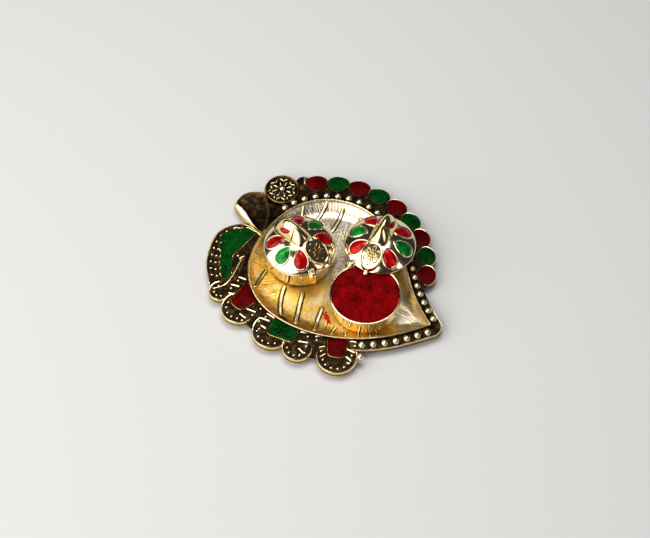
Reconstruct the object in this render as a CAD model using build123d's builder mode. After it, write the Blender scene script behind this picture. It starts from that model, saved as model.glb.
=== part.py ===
import os
from math import cos, degrees, radians, sin, sqrt

from build123d import *

os.makedirs("parts", exist_ok=True)

# Cups
cup_diameter = 32.0
cup_foot_diameter = 29.0
cup_height = 11.0
cup_wall = 1.2
cup_floor = 1.2
cup_spacing = 38.5

# Swivel lids
lid_rise = 6.5
lid_lip = 1.0
lid_wall = 1.2
lid_gap = 0.15
lid_opened = 106.5
tab_width = 2.4
tab_reach = 1.6
tab_thickness = 1.0

# Pivots
pivot_overhang = 0.5
pivot_bearing = -27.8
pivot_margin = 1.1
post_height = 4.6
corbel_height = 4.0
corbel_foot_diameter = 1.2
corbel_foot_reach = 14.6
ear_thickness = 1.2
pin_diameter = 1.5
pin_head_diameter = 2.6
pin_head_height = 0.8
pin_depth = 4.0
pin_clearance = 0.05
pin_head_clearance = 0.25

# Teardrop enamel of the lids
drop_margin = 1.0
drop_length = 8.7
drop_width = 5.2
drop_point_radius = 0.4
drop_depth = 0.5
drop_crown = 0.25
red_drop_bearings = (45, 135, 225, 315)
green_drop_bearings = (90, 270)

# Bird knobs: (place along the lid, half width, height of the crest), head at -X
bird_sections = (
    (-14.4, 0.8, 3.2),
    (-11.0, 2.5, 7.6),
    (-7.0, 3.5, 11.6),
    (-2.5, 3.9, 13.3),
    (1.6, 3.5, 10.8),
    (5.4, 2.4, 7.6),
)
bird_root = 1.2
bird_seat_gap = 0.02
tail_margin = 0.2
tail_overlap = 0.6
tail_width = 9.2
tail_thickness = 1.4
stud_diameter = 3.0
stud_head_diameter = 4.8
stud_head_height = 0.7
eye_place = 7.2
eye_height = 8.8
eye_length = 3.8
eye_width = 1.8
eye_pocket = 2.2
eye_face = 3.1

# Rivets under the cups
rivet_diameter = 3.0
rivet_head_diameter = 5.6
rivet_head_height = 0.7
rivet_recess = 0.8

# Kumkum powder
powder_headspace = 0.6
powder_crown = 0.6

# Dish: centre, and (bearing, distance) of its ridge line, starting at the tip
dish_centre = (-4.0, 3.5)
dish_rays = (
    (6.5, 52.8),
    (-13.2, 43.7),
    (-44.4, 36.4),
    (-80.0, 34.5),
    (-112.7, 36.2),
    (-145.4, 36.8),
    (-180.8, 36.4),
    (-212.5, 38.6),
    (-241.6, 37.9),
    (-270.0, 35.0),
    (-302.3, 33.6),
    (-334.8, 37.4),
)
tip_leaving = (-0.5, -0.87)
tip_arriving = (0.93, -0.36)
tip_stretch = 1.0
floor_thickness = 1.8
dish_depth = 4.4
floor_inset = 8.5
hollow_inset = 4.0
hollow_rise = 1.0
cup_seat_gap = 0.1
foot_inset = 4.0
foot_flare = 1.8
ridge_width = 0.9

# Border round the dish
border_underside = 2.0
border_thickness = 2.4
rim_width = 1.1
rim_rise = 0.7
collar_width = 5.3
collar_points = 24
bead_diameter = 3.2
bead_pitch = 4.8
bead_sink = 1.2
bead_line_distance = 2.75
beads_below_tip = 7
beads_above_tip = 23

# Petals of the border, counted from the flower to the tip
petal_count = 9
petal_first_bearing = 138.1
petal_pitch = 10.3
petal_first_distance = 49.2
petal_last_distance = 43.2
petal_length = 9.0
petal_width = 11.0
petal_rim = 0.7
petal_rise = 0.8

# Fans: (centre, radius) of the lobes, and corners of the enamel trapezoids
fan_lobes = (
    ((-34.0, -37.0), 5.2),
    ((-21.5, -38.0), 8.2),
    ((-2.5, -37.5), 9.0),
    ((11.3, -36.5), 6.9),
    ((27.0, -28.5), 9.2),
)
fan_red_corners = (
    ((-28.0, -26.6), (-18.4, -31.3), (-20.2, -38.6), (-26.4, -38.2)),
    ((18.9, -25.3), (26.3, -20.3), (30.0, -27.4), (24.2, -30.8)),
)
fan_green_corners = (
    ((-5.5, -32.9), (6.4, -30.9), (8.4, -35.8), (-3.8, -39.8)),
)

# Leaf at the round end, with its dotted band outside
leaf_tip = (-43.4, -4.0)
leaf_outer = ((-48.8, -4.6), (-53.4, -9.8), (-53.8, -15.2), (-49.4, -21.0), (-43.4, -27.4), (-37.0, -32.8))
leaf_middle = (-47.6, -14.0)
leaf_inner = ((-36.6, -27.0), (-41.8, -21.2), (-42.4, -13.0))
band_points = ((-49.4, -2.4), (-54.8, -8.0), (-56.6, -14.0), (-54.6, -21.4), (-47.4, -32.0), (-38.4, -39.2))

# Plain petal and flower
plain_tip = (-39.4, -2.6)
plain_low_corner = (-61.2, 1.4)
plain_high_corner = (-55.4, 15.9)
plain_low_side = (-50.4, -1.6)
plain_high_side = (-44.6, 8.2)
plain_crest = (-61.6, 9.6)
plain_middle = (-53.0, 5.6)
plain_rise = 2.2
plain_rim = 1.2
plain_hollow = 1.5
flower_centre = (-50.4, 23.1)
flower_diameter = 16.4
flower_rise = 0.8
flower_petals = 8
flower_petal_diameter = 4.4
flower_petal_sink = 0.9
flower_ball_diameter = 3.4
flower_ball_sink = 0.6

# Fits of the fixed pieces and the enamel
fixed_fit = 0.02
enamel_gap = 0.05
enamel_depth = 0.7
enamel_proud = 0.6

# Worked out from the sizes above
cup_radius = cup_diameter / 2
cup_rim = floor_thickness + cup_height
lid_underside = cup_rim + lid_gap
dome_radius = (cup_radius**2 + lid_rise**2) / (2 * lid_rise)
dome_centre = lid_lip + lid_rise - dome_radius
lid_top = lid_lip + lid_rise
ear_radius = pin_diameter / 2 + pivot_margin
ridge_height = floor_thickness + dish_depth
border_top = border_underside + border_thickness
petal_top = border_top + petal_rise
plain_top = border_top + plain_rise
pivot_distance = cup_radius + pivot_overhang
cup_seat_radius = (
    cup_foot_diameter / 2 + (cup_radius - cup_foot_diameter / 2) * hollow_rise / cup_height + cup_seat_gap
)
drop_ring = cup_radius - drop_margin - drop_length / 2
tail_start = bird_sections[-1][0] - tail_overlap
tail_length = cup_radius - tail_margin - tail_start
pivot_x = pivot_distance * cos(radians(pivot_bearing))
pivot_y = pivot_distance * sin(radians(pivot_bearing))


def dome_height(distance, stand=0.0):
    """Height of the lid's dome above its underside, at a distance from its axis."""
    return dome_centre + sqrt((dome_radius + stand) ** 2 - distance**2)


def from_dish(bearing, distance):
    """Point of the plan at a bearing and distance from the dish's centre."""
    turn = radians(bearing)
    return (dish_centre[0] + distance * cos(turn), dish_centre[1] + distance * sin(turn))


# Ridge line of the dish, from its tip round to the tip again
dish_tip, *dish_sides = (from_dish(bearing, distance) for bearing, distance in dish_rays)
tip_bearing, tip_distance = dish_rays[0]
with BuildLine() as ridge_line:
    Spline(dish_tip, *dish_sides, dish_tip, tangents=(tip_leaving, tip_arriving))
ridge_edge = ridge_line.edges()[0]


def beside_ridge(share, reach):
    """Point at a share of the ridge line's length, moved outwards from it by reach."""
    along = ridge_edge.tangent_at(share)
    return ridge_edge.position_at(share) + Vector(0, 0, 1).cross(along) * reach


def dish_outline(reach):
    """Face inside the ridge line moved outwards by reach."""
    tip = from_dish(tip_bearing, tip_distance + reach * tip_stretch)
    sides = [beside_ridge(ridge_edge.param_at_point(point), reach) for point in dish_sides]
    with BuildSketch() as face:
        with BuildLine():
            Spline(tip, *sides, tip, tangents=(tip_leaving, tip_arriving))
        make_face()
    return face.sketch


def collar_outline(reach):
    """Face inside the ridge line moved outwards evenly by reach, round at the tip."""
    shares = [0.002 + 0.996 * i / collar_points for i in range(collar_points + 1)]
    side = [beside_ridge(share, reach) for share in shares]
    ahead = (side[0] - Vector(*dish_tip) + side[-1] - Vector(*dish_tip)).normalized()
    with BuildSketch() as face:
        with BuildLine():
            Spline(*side)
            ThreePointArc(side[-1], Vector(*dish_tip) + ahead * reach, side[0])
        make_face()
    return face.sketch


# Cup with its pivot post, standing on its own axis
with BuildPart() as cup:
    with BuildSketch(Plane.XZ):
        Polygon(
            (0, 0),
            (cup_foot_diameter / 2, 0),
            (cup_radius, cup_height),
            (0, cup_height),
            align=None,
        )
    revolve(axis=Axis.Z)
    with Locations((pivot_x, pivot_y, cup_height)):
        Cylinder(ear_radius, post_height, align=(Align.CENTER, Align.CENTER, Align.MAX))
    with BuildSketch(Plane.XY.offset(cup_height - post_height)):
        with Locations((pivot_x, pivot_y)):
            Circle(ear_radius)
    with BuildSketch(Plane.XY.offset(cup_height - post_height - corbel_height)):
        with Locations((pivot_x * corbel_foot_reach / pivot_distance, pivot_y * corbel_foot_reach / pivot_distance)):
            Circle(corbel_foot_diameter / 2)
    loft()
    with BuildSketch(Plane.XZ):
        Polygon(
            (0, cup_floor),
            (cup_foot_diameter / 2 - cup_wall, cup_floor),
            (cup_radius - cup_wall, cup_height),
            (0, cup_height),
            align=None,
        )
    revolve(axis=Axis.Z, mode=Mode.SUBTRACT)
    with Locations((pivot_x, pivot_y, cup_height)):
        Hole(pin_diameter / 2 + fixed_fit, depth=pin_depth)
    with Locations((0, 0, cup_floor)):
        Hole(rivet_diameter / 2 + fixed_fit, depth=cup_floor)

# Pivot pin: shank in the post, head above the lid's ear
with BuildPart() as pivot_pin:
    shank_length = pin_depth + 2 * lid_gap + ear_thickness
    with Locations((pivot_x, pivot_y, cup_height - pin_depth)):
        Cylinder(pin_diameter / 2, shank_length, align=(Align.CENTER, Align.CENTER, Align.MIN))
    with Locations((pivot_x, pivot_y, cup_height - pin_depth + shank_length)):
        Cylinder(pin_head_diameter / 2, pin_head_height, align=(Align.CENTER, Align.CENTER, Align.MIN))
    fillet(pivot_pin.edges().group_by(Axis.Z)[-1], pin_head_height / 2)

# Rivet through the tray's floor and the cup's floor
with BuildPart() as cup_rivet:
    with Locations((0, 0, rivet_recess - rivet_head_height)):
        Cylinder(rivet_head_diameter / 2, rivet_head_height, align=(Align.CENTER, Align.CENTER, Align.MIN))
    with Locations((0, 0, rivet_recess)):
        Cylinder(
            rivet_diameter / 2,
            floor_thickness + cup_floor - rivet_recess,
            align=(Align.CENTER, Align.CENTER, Align.MIN),
        )
    with Locations((0, 0, floor_thickness + cup_floor)):
        Cylinder(rivet_head_diameter / 2, rivet_head_height, align=(Align.CENTER, Align.CENTER, Align.MIN))
    fillet(cup_rivet.edges().group_by(Axis.Z)[-1], rivet_head_height / 2)


def teardrop(grow):
    """Outline of one enamel drop, its point towards the lid's axis, on the +X side."""
    with BuildSketch() as outline:
        with Locations((drop_ring + (drop_length - drop_width) / 2, 0)):
            Circle(drop_width / 2 + grow)
        with Locations((drop_ring - drop_length / 2 + drop_point_radius, 0)):
            Circle(drop_point_radius + grow)
        make_hull()
    return outline.sketch


def drops(bearings, grow, low, high):
    """Teardrop pieces of the dome, from low to high above its surface."""
    with BuildPart() as pieces:
        with BuildSketch():
            for bearing in bearings:
                with Locations(Location((0, 0, 0), (0, 0, bearing))):
                    add(teardrop(grow))
        extrude(amount=lid_top + high)
        with Locations((0, 0, dome_centre)):
            Sphere(dome_radius + high, mode=Mode.INTERSECT)
            Sphere(dome_radius + low, mode=Mode.SUBTRACT)
    return pieces.part


drop_recesses = drops(
    red_drop_bearings + green_drop_bearings, enamel_gap, -drop_depth, drop_crown + lid_wall
)

# Lid: dome, pivot ear and finger tab, its tail side at +X, its underside at Z = 0
with BuildPart() as lid:
    with BuildSketch(Plane.XZ):
        with BuildLine():
            Polyline((0, lid_top), (0, 0), (cup_radius, 0), (cup_radius, lid_lip))
            ThreePointArc(
                (cup_radius, lid_lip),
                (cup_radius / 2, dome_height(cup_radius / 2)),
                (0, lid_top),
            )
        make_face()
    revolve(axis=Axis.Z)
    with Locations((pivot_x, pivot_y, 0)):
        Cylinder(ear_radius, ear_thickness, align=(Align.CENTER, Align.CENTER, Align.MIN))
    with BuildSketch():
        with Locations((cup_radius, 0)):
            SlotCenterToCenter(2 * tab_reach - tab_width / 2, tab_width)
    extrude(amount=tab_thickness)
    inner_radius = cup_radius - cup_wall
    with BuildSketch(Plane.XZ):
        with BuildLine():
            Polyline(
                (0, dome_height(0, -lid_wall)),
                (0, 0),
                (inner_radius, 0),
                (inner_radius, dome_height(inner_radius, -lid_wall)),
            )
            ThreePointArc(
                (inner_radius, dome_height(inner_radius, -lid_wall)),
                (inner_radius / 2, dome_height(inner_radius / 2, -lid_wall)),
                (0, dome_height(0, -lid_wall)),
            )
        make_face()
    revolve(axis=Axis.Z, mode=Mode.SUBTRACT)
    with Locations((pivot_x, pivot_y, ear_thickness)):
        Cylinder(
            pin_head_diameter / 2 + pin_head_clearance,
            lid_top,
            align=(Align.CENTER, Align.CENTER, Align.MIN),
            mode=Mode.SUBTRACT,
        )
        Hole(pin_diameter / 2 + pin_clearance, depth=ear_thickness)
    with Locations((0, 0, lid_top)):
        Hole(stud_diameter / 2 + fixed_fit, depth=lid_top)
    add(drop_recesses, mode=Mode.SUBTRACT)

# Bird knob: neck and head, fan tail, and the stud that holds it to the lid
with BuildPart() as tail:
    with BuildSketch():
        with Locations((tail_start + tail_length / 2, 0)):
            Ellipse(tail_length / 2, tail_width / 2)
    extrude(amount=lid_top + tail_thickness)
    with Locations((0, 0, dome_centre)):
        Sphere(dome_radius + tail_thickness, mode=Mode.INTERSECT)

stud_head_top = dome_height(stud_head_diameter / 2, -lid_wall) - bird_seat_gap
eye_sides = (1, -1)


def eyes(grow, low, high):
    """Lozenges on both sides of the head, from low to high out of its middle plane."""
    with BuildPart() as lozenges:
        for side in eye_sides:
            with BuildSketch(Plane.XZ.offset(-side * low)):
                with Locations((-eye_place, eye_height)):
                    Ellipse(eye_length / 2 + grow, eye_width / 2 + grow)
            extrude(amount=-side * (high - low))
    return lozenges.part


eye_pockets = eyes(enamel_gap, eye_pocket, cup_radius)

with BuildPart() as bird:
    for place, half_width, crest in bird_sections:
        root = dome_height(abs(place)) - bird_root
        with BuildSketch(Plane.YZ.offset(place)):
            with Locations((0, root)):
                Ellipse(half_width, crest - root)
    loft()
    add(tail.part)
    with Locations((0, 0, dome_centre)):
        Sphere(dome_radius + bird_seat_gap, mode=Mode.SUBTRACT)
    with Locations((0, 0, stud_head_top)):
        Cylinder(
            stud_diameter / 2,
            lid_top + bird_root - stud_head_top,
            align=(Align.CENTER, Align.CENTER, Align.MIN),
        )
        Cylinder(
            stud_head_diameter / 2,
            stud_head_height,
            align=(Align.CENTER, Align.CENTER, Align.MAX),
        )
    add(eye_pockets, mode=Mode.SUBTRACT)

# Powder heaped in the right cup, with room for the rivet's head
powder_top = cup_height - powder_headspace
powder_slope = (cup_radius - cup_foot_diameter / 2) / cup_height
with BuildPart() as powder:
    powder_foot = cup_foot_diameter / 2 - cup_wall + powder_slope * cup_floor - enamel_gap
    powder_mouth = cup_foot_diameter / 2 - cup_wall + powder_slope * powder_top - enamel_gap
    with BuildSketch(Plane.XZ):
        with BuildLine():
            Polyline(
                (0, powder_top + powder_crown),
                (0, cup_floor),
                (powder_foot - powder_slope * cup_floor, cup_floor),
                (powder_mouth - powder_slope * cup_floor, powder_top),
            )
            Spline(
                (powder_mouth - powder_slope * cup_floor, powder_top),
                (powder_mouth / 2, powder_top + powder_crown * 2 / 3),
                (0, powder_top + powder_crown),
            )
        make_face()
    revolve(axis=Axis.Z)
    with Locations((0, 0, cup_floor)):
        Cylinder(
            rivet_head_diameter / 2 + enamel_gap,
            rivet_head_height + enamel_gap,
            align=(Align.CENTER, Align.CENTER, Align.MIN),
            mode=Mode.SUBTRACT,
        )

# Enamel of the border
petal_fall = (petal_first_distance - petal_last_distance) / (petal_count - 1)
petal_distances = [petal_first_distance - petal_fall * i for i in range(petal_count)]
petal_bearings = [petal_first_bearing]
for distance in petal_distances[:-1]:
    petal_bearings.append(petal_bearings[-1] - degrees(petal_pitch / distance))
petal_centres = [from_dish(bearing, distance) for bearing, distance in zip(petal_bearings, petal_distances)]


def petals(first, step, trim):
    """Every step-th petal from the first, its outline trimmed by trim."""
    with BuildSketch() as outlines:
        for i in range(first, petal_count, step):
            with Locations(Location((*petal_centres[i], 0), (0, 0, petal_bearings[i]))):
                Ellipse(petal_length / 2 - trim, petal_width / 2 - trim)
    return outlines.sketch


def petal_backing():
    """Metal from the middle of the dish out to the flower's centre and the petals' centres."""
    with BuildSketch() as backing:
        with BuildLine():
            row = Spline(flower_centre, *petal_centres)
            Polyline(row @ 1, dish_centre, row @ 0)
        make_face()
    return backing.sketch


def fan_cells(corner_lists, grow):
    """Trapezoids of the fans with rounded corners, grown by grow."""
    with BuildSketch() as cells:
        for corners in corner_lists:
            Polygon(*corners, align=None)
        if grow:
            offset(amount=grow)
    return cells.sketch


def leaf_cell(grow):
    """Leaf of the round end, its points moved out from its middle by grow."""
    middle = Vector(*leaf_middle)
    outer, inner = (
        [Vector(*point) + (Vector(*point) - middle).normalized() * grow for point in points]
        for points in ((leaf_tip, *leaf_outer), (leaf_outer[-1], *leaf_inner, leaf_tip))
    )
    with BuildSketch() as cell:
        with BuildLine():
            Spline(*outer)
            Spline(*inner)
        make_face()
    return cell.sketch


def lobes(trim):
    """Round lobes of the fans, their edges trimmed by trim."""
    with BuildSketch() as rounds:
        for centre, radius in fan_lobes:
            with Locations(centre):
                Circle(radius - trim)
    return rounds.sketch


def band_plate(trim):
    """Plate from the leaf's outer edge, trimmed by trim, over the fans' centres to the middle of the dish."""
    middle = Vector(*leaf_middle)
    edge = [Vector(*point) + (middle - Vector(*point)).normalized() * trim for point in band_points]
    with BuildSketch() as plate:
        with BuildLine():
            band = Spline(plain_tip, *edge)
            Polyline(band @ 1, *[centre for centre, radius in fan_lobes], dish_centre, plain_tip)
        make_face()
    return plate.sketch


def plain_petal(trim):
    """Outline of the plain petal, its points moved towards its middle by trim."""
    middle = Vector(*plain_middle)
    tip, low_side, low_corner, crest, high_corner, high_side = (
        Vector(*point) + (middle - Vector(*point)).normalized() * trim
        for point in (
            plain_tip,
            plain_low_side,
            plain_low_corner,
            plain_crest,
            plain_high_corner,
            plain_high_side,
        )
    )
    with BuildSketch() as outline:
        with BuildLine():
            Spline(tip, low_side, low_corner)
            ThreePointArc(low_corner, crest, high_corner)
            Spline(high_corner, high_side, tip)
        make_face()
    return outline.sketch


def enamel(cells, low, high):
    """Enamel that fills cells from low to high."""
    with BuildPart() as filling:
        with BuildSketch(Plane.XY.offset(low)):
            add(cells)
        extrude(amount=high - low)
    return filling.part


# Bead row: even steps along the ridge line, the tip between two beads
bead_step = bead_pitch / ridge_edge.length
bead_shares = [bead_step * (i + 0.5) for i in range(beads_below_tip)]
bead_shares += [1 - bead_step * (i + 0.5) for i in range(beads_above_tip)]
bead_places = [beside_ridge(share, bead_line_distance) for share in bead_shares]

# Tray: dish, border and ornament in one casting
with BuildPart() as tray:
    with BuildSketch(Plane.XY):
        add(dish_outline(-foot_inset))
    with BuildSketch(Plane.XY.offset(border_underside)):
        add(dish_outline(-foot_inset + foot_flare))
    loft()
    with BuildSketch(Plane.XY.offset(border_underside)):
        add(dish_outline(ridge_width / 2))
    extrude(amount=ridge_height - border_underside)
    with BuildSketch(Plane.XY.offset(border_underside)):
        add(collar_outline(collar_width))
        add(petal_backing())
        with Locations(flower_centre):
            Circle(flower_diameter / 2)
        add(lobes(0))
        add(band_plate(0))
    extrude(amount=border_thickness)
    with BuildSketch(Plane.XY.offset(border_underside)):
        add(petals(0, 1, 0))
    extrude(amount=border_thickness + petal_rise)
    with BuildSketch(Plane.XY.offset(border_top)):
        add(lobes(0))
        add(band_plate(0))
        add(lobes(rim_width), mode=Mode.SUBTRACT)
        add(band_plate(rim_width), mode=Mode.SUBTRACT)
        add(collar_outline(collar_width), mode=Mode.SUBTRACT)
    extrude(amount=rim_rise)
    with BuildSketch(Plane.XY.offset(border_underside)):
        add(plain_petal(0))
    extrude(amount=border_thickness + plain_rise)
    with BuildSketch(Plane.XY.offset(plain_top)):
        add(plain_petal(plain_rim))
    extrude(amount=-plain_hollow, mode=Mode.SUBTRACT)
    with BuildSketch(Plane.XY.offset(border_underside)):
        with Locations(flower_centre):
            Circle(flower_diameter / 2 - petal_rim)
    extrude(amount=border_thickness + flower_rise)
    with Locations((*flower_centre, border_top + flower_rise - flower_ball_sink)):
        Sphere(flower_ball_diameter / 2)
    with Locations((*flower_centre, border_top + flower_rise - flower_petal_sink)):
        with PolarLocations(flower_diameter / 2 - petal_rim - flower_petal_diameter / 2, flower_petals):
            Sphere(flower_petal_diameter / 2)
    with Locations(*[(place.X, place.Y, border_top + bead_diameter / 2 - bead_sink) for place in bead_places]):
        Sphere(bead_diameter / 2)
    with BuildSketch(Plane.XY.offset(floor_thickness)):
        add(dish_outline(-floor_inset))
    with BuildSketch(Plane.XY.offset(floor_thickness + hollow_rise)):
        add(dish_outline(-hollow_inset))
    loft(mode=Mode.SUBTRACT)
    with BuildSketch(Plane.XY.offset(floor_thickness + hollow_rise)):
        add(dish_outline(-hollow_inset))
    with BuildSketch(Plane.XY.offset(ridge_height)):
        add(dish_outline(-ridge_width / 2))
    loft(mode=Mode.SUBTRACT)
    for top, cells in (
        (petal_top, petals(0, 1, petal_rim)),
        (border_top, fan_cells(fan_red_corners + fan_green_corners, enamel_gap)),
        (border_top, leaf_cell(enamel_gap)),
    ):
        with BuildSketch(Plane.XY.offset(top)):
            add(cells)
        extrude(amount=-enamel_depth, mode=Mode.SUBTRACT)
    for side in (-1, 1):
        with Locations((side * cup_spacing / 2, 0, floor_thickness)):
            Cylinder(
                cup_seat_radius,
                hollow_rise,
                align=(Align.CENTER, Align.CENTER, Align.MIN),
                mode=Mode.SUBTRACT,
            )
        with Locations((side * cup_spacing / 2, 0, 0)):
            Cylinder(
                rivet_head_diameter / 2 + enamel_gap,
                rivet_recess,
                align=(Align.CENTER, Align.CENTER, Align.MIN),
                mode=Mode.SUBTRACT,
            )
        with Locations((side * cup_spacing / 2, 0, floor_thickness)):
            Hole(rivet_diameter / 2 + fixed_fit, depth=floor_thickness)
tray.part.label = "tray"
export_step(tray.part, "parts/tray.step")

# Enamel fillings of the tray
tray_enamel = {
    "petal_enamel_red": petals(0, 2, petal_rim + enamel_gap),
    "petal_enamel_green": petals(1, 2, petal_rim + enamel_gap),
    "fan_enamel_red": fan_cells(fan_red_corners, 0),
    "fan_enamel_green": fan_cells(fan_green_corners, 0),
    "leaf_enamel_green": leaf_cell(0),
}
for name, cells in tray_enamel.items():
    if name.startswith("petal"):
        filling = enamel(cells, petal_top - enamel_depth, petal_top)
    else:
        filling = enamel(cells, border_top - enamel_depth, border_top + enamel_proud)
    filling.label = name
    export_step(filling, f"parts/{name}.step")

# Places of the two boxes: the right one is the left one turned half round
cup_places = {
    "left": Location((-cup_spacing / 2, 0, 0)),
    "right": Location((cup_spacing / 2, 0, 0), (0, 0, 180)),
}
lid_turns = {"left": 0.0, "right": lid_opened}
pivot = Location((pivot_x, pivot_y, 0))

for side, cup_place in cup_places.items():
    floor_place = cup_place * Location((0, 0, floor_thickness))
    swung = pivot * Location((0, 0, 0), (0, 0, lid_turns[side])) * pivot.inverse()
    lid_place = cup_place * swung * Location((0, 0, lid_underside))
    pieces = {
        f"cup_{side}": cup.part.moved(floor_place),
        f"pivot_pin_{side}": pivot_pin.part.moved(floor_place),
        f"cup_rivet_{side}": cup_rivet.part.moved(cup_place),
        f"lid_{side}": lid.part.moved(lid_place),
        f"lid_{side}_enamel_red": drops(red_drop_bearings, 0, -drop_depth, drop_crown).moved(lid_place),
        f"lid_{side}_enamel_green": drops(green_drop_bearings, 0, -drop_depth, drop_crown).moved(lid_place),
        f"bird_{side}": bird.part.moved(lid_place),
        f"bird_{side}_eyes": eyes(0, eye_pocket, eye_face).moved(lid_place),
    }
    if side == "right":
        pieces["kumkum"] = powder.part.moved(floor_place)
    for name, piece in pieces.items():
        piece.label = name
        export_step(piece, f"parts/{name}.step")
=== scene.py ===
import bmesh
import bpy
import numpy as np
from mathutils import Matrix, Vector


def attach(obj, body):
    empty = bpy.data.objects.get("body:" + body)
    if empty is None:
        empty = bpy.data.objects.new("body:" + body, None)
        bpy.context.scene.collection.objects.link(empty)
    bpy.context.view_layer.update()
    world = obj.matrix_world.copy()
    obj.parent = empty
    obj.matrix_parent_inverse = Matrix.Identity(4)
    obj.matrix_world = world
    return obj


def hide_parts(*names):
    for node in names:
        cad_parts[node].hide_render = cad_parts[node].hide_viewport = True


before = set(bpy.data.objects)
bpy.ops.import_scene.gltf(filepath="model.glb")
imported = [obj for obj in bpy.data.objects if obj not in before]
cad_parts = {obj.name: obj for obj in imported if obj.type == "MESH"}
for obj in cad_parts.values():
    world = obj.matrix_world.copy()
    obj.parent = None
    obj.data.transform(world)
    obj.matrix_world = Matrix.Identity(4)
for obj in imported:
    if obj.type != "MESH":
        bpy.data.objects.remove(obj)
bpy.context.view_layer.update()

# Dish of the tray: a shallow bowl in mango outline, cast in brass in one piece with its border and gold
# plated. The bowl is brushed from the ridge inwards, the ridge and the outer rim are polished, and the
# channel between them, which carries the beads, is painted dark as shade.
MM = 0.001
dish_centre = np.array([-4.0, 3.5])
dish_rays = np.array([
    (6.5, 52.8), (-13.2, 43.7), (-44.4, 36.4), (-80.0, 34.5), (-112.7, 36.2), (-145.4, 36.8),
    (-180.8, 36.4), (-212.5, 38.6), (-241.6, 37.9), (-270.0, 35.0), (-302.3, 33.6), (-334.8, 37.4),
])
tip_leaving = np.array([-0.5, -0.87])
tip_arriving = np.array([0.93, -0.36])
dish_columns = 560
ridge_steps = 6000
floor_top = 1.8
bowl_width = 8.5
bowl_rise = 4.2
bowl_hollow = 2.2


def smooth_line(points, leaving, arriving, count, fine_count=6000):
    """Clamped cubic spline over chord length: its second derivatives solve the spline's
    linear equations with the two end directions; count points are spaced evenly along it."""
    points = np.asarray(points, float)
    leaps = np.linalg.norm(np.diff(points, axis=0), axis=1)
    knots = np.concatenate(([0.0], np.cumsum(leaps)))
    last = len(points) - 1
    rules = np.zeros((last + 1, last + 1))
    slopes = np.diff(points, axis=0) / leaps[:, None]
    turns = np.zeros_like(points)
    inner = np.arange(1, last)
    rules[inner, inner - 1] = leaps[:-1]
    rules[inner, inner] = 2 * (leaps[:-1] + leaps[1:])
    rules[inner, inner + 1] = leaps[1:]
    turns[1:-1] = 6 * np.diff(slopes, axis=0)
    rules[0, :2] = 2 * leaps[0], leaps[0]
    rules[last, -2:] = leaps[-1], 2 * leaps[-1]
    turns[0] = 6 * (slopes[0] - leaving)
    turns[last] = 6 * (arriving - slopes[-1])
    bends = np.linalg.solve(rules, turns)
    along = np.linspace(0, knots[-1], fine_count)
    k = np.clip(np.searchsorted(knots, along, side="right") - 1, 0, last - 1)
    a = ((knots[k + 1] - along) / leaps[k])[:, None]
    b = 1 - a
    fine = a * points[k] + b * points[k + 1]
    fine += ((a**3 - a) * bends[k] + (b**3 - b) * bends[k + 1]) * (leaps[k] ** 2)[:, None] / 6
    run = np.concatenate(([0.0], np.cumsum(np.linalg.norm(np.diff(fine, axis=0), axis=1))))
    even = np.linspace(0, run[-1], count)
    return np.stack([np.interp(even, run, fine[:, i]) for i in (0, 1)], axis=1)


def from_dish(bearing, distance):
    """Points of the plan at bearings (degrees) and distances from the dish's centre."""
    turn = np.radians(bearing)
    return dish_centre + np.stack([np.cos(turn), np.sin(turn)], axis=-1) * np.asarray(distance)[..., None]


dish_nodes = from_dish(dish_rays[:, 0], dish_rays[:, 1])
ridge = smooth_line(np.vstack([dish_nodes, dish_nodes[:1]]), tip_leaving, tip_arriving, ridge_steps + 1)
ridge_length = np.linalg.norm(np.diff(ridge, axis=0), axis=1).sum()


def beside_ridge(share, reach):
    """Points at shares of the ridge line's length, moved outwards along its normals by reach."""
    at = np.clip(np.round(np.asarray(share) * ridge_steps).astype(int), 1, ridge_steps - 1)
    along = ridge[at + 1] - ridge[at - 1]
    along /= np.linalg.norm(along, axis=-1, keepdims=True)
    outwards = np.stack([-along[..., 1], along[..., 0]], axis=-1)
    return ridge[at] + outwards * np.asarray(reach)[..., None]


node_gaps = np.linalg.norm(ridge[None] - dish_nodes[1:, None], axis=2)
node_shares = np.argmin(node_gaps, axis=1) / ridge_steps

# Columns of the dish: even steps along the ridge line, and some more at the tip, where the normals turn
tip_columns, tip_share = 12, 0.4 / ridge_length
column_share = np.concatenate([
    np.linspace(0, tip_share, tip_columns, endpoint=False),
    np.linspace(tip_share, 1 - tip_share, dish_columns - 2 * tip_columns, endpoint=False),
    np.linspace(1 - tip_share, 1, tip_columns, endpoint=False),
])
column_points = beside_ridge(column_share, 0.0)
column_outwards = beside_ridge(column_share, 1.0) - column_points
turn_start, turn_end = (np.degrees(np.arctan2(*column_outwards[i, ::-1])) for i in (0, -1))
turn_middle = (turn_start + turn_end) / 2
tip_turns = np.radians(np.concatenate([
    np.linspace(turn_middle, turn_start, tip_columns),
    np.linspace(turn_end, turn_middle, tip_columns, endpoint=False),
]))
tip_at = np.r_[0:tip_columns, dish_columns - tip_columns:dish_columns]
column_outwards[tip_at] = np.stack([np.cos(tip_turns), np.sin(tip_turns)], axis=1)


def dish_line(reach):
    """Ridge line moved inwards (reach below zero) as a spline through its moved nodes, or outwards along its
    normals, which turn evenly round the tip, so that the outer lines are round there."""
    if reach >= 0:
        return column_points + column_outwards * reach
    tip = from_dish(dish_rays[0, 0], dish_rays[0, 1] + reach)
    nodes = np.vstack([tip, beside_ridge(node_shares, reach), tip])
    line = smooth_line(nodes, tip_leaving, tip_arriving, ridge_steps + 1)
    at, steps = column_share * ridge_steps, np.arange(ridge_steps + 1)
    return np.stack([np.interp(at, steps, line[:, i]) for i in (0, 1)], axis=1)


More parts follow.
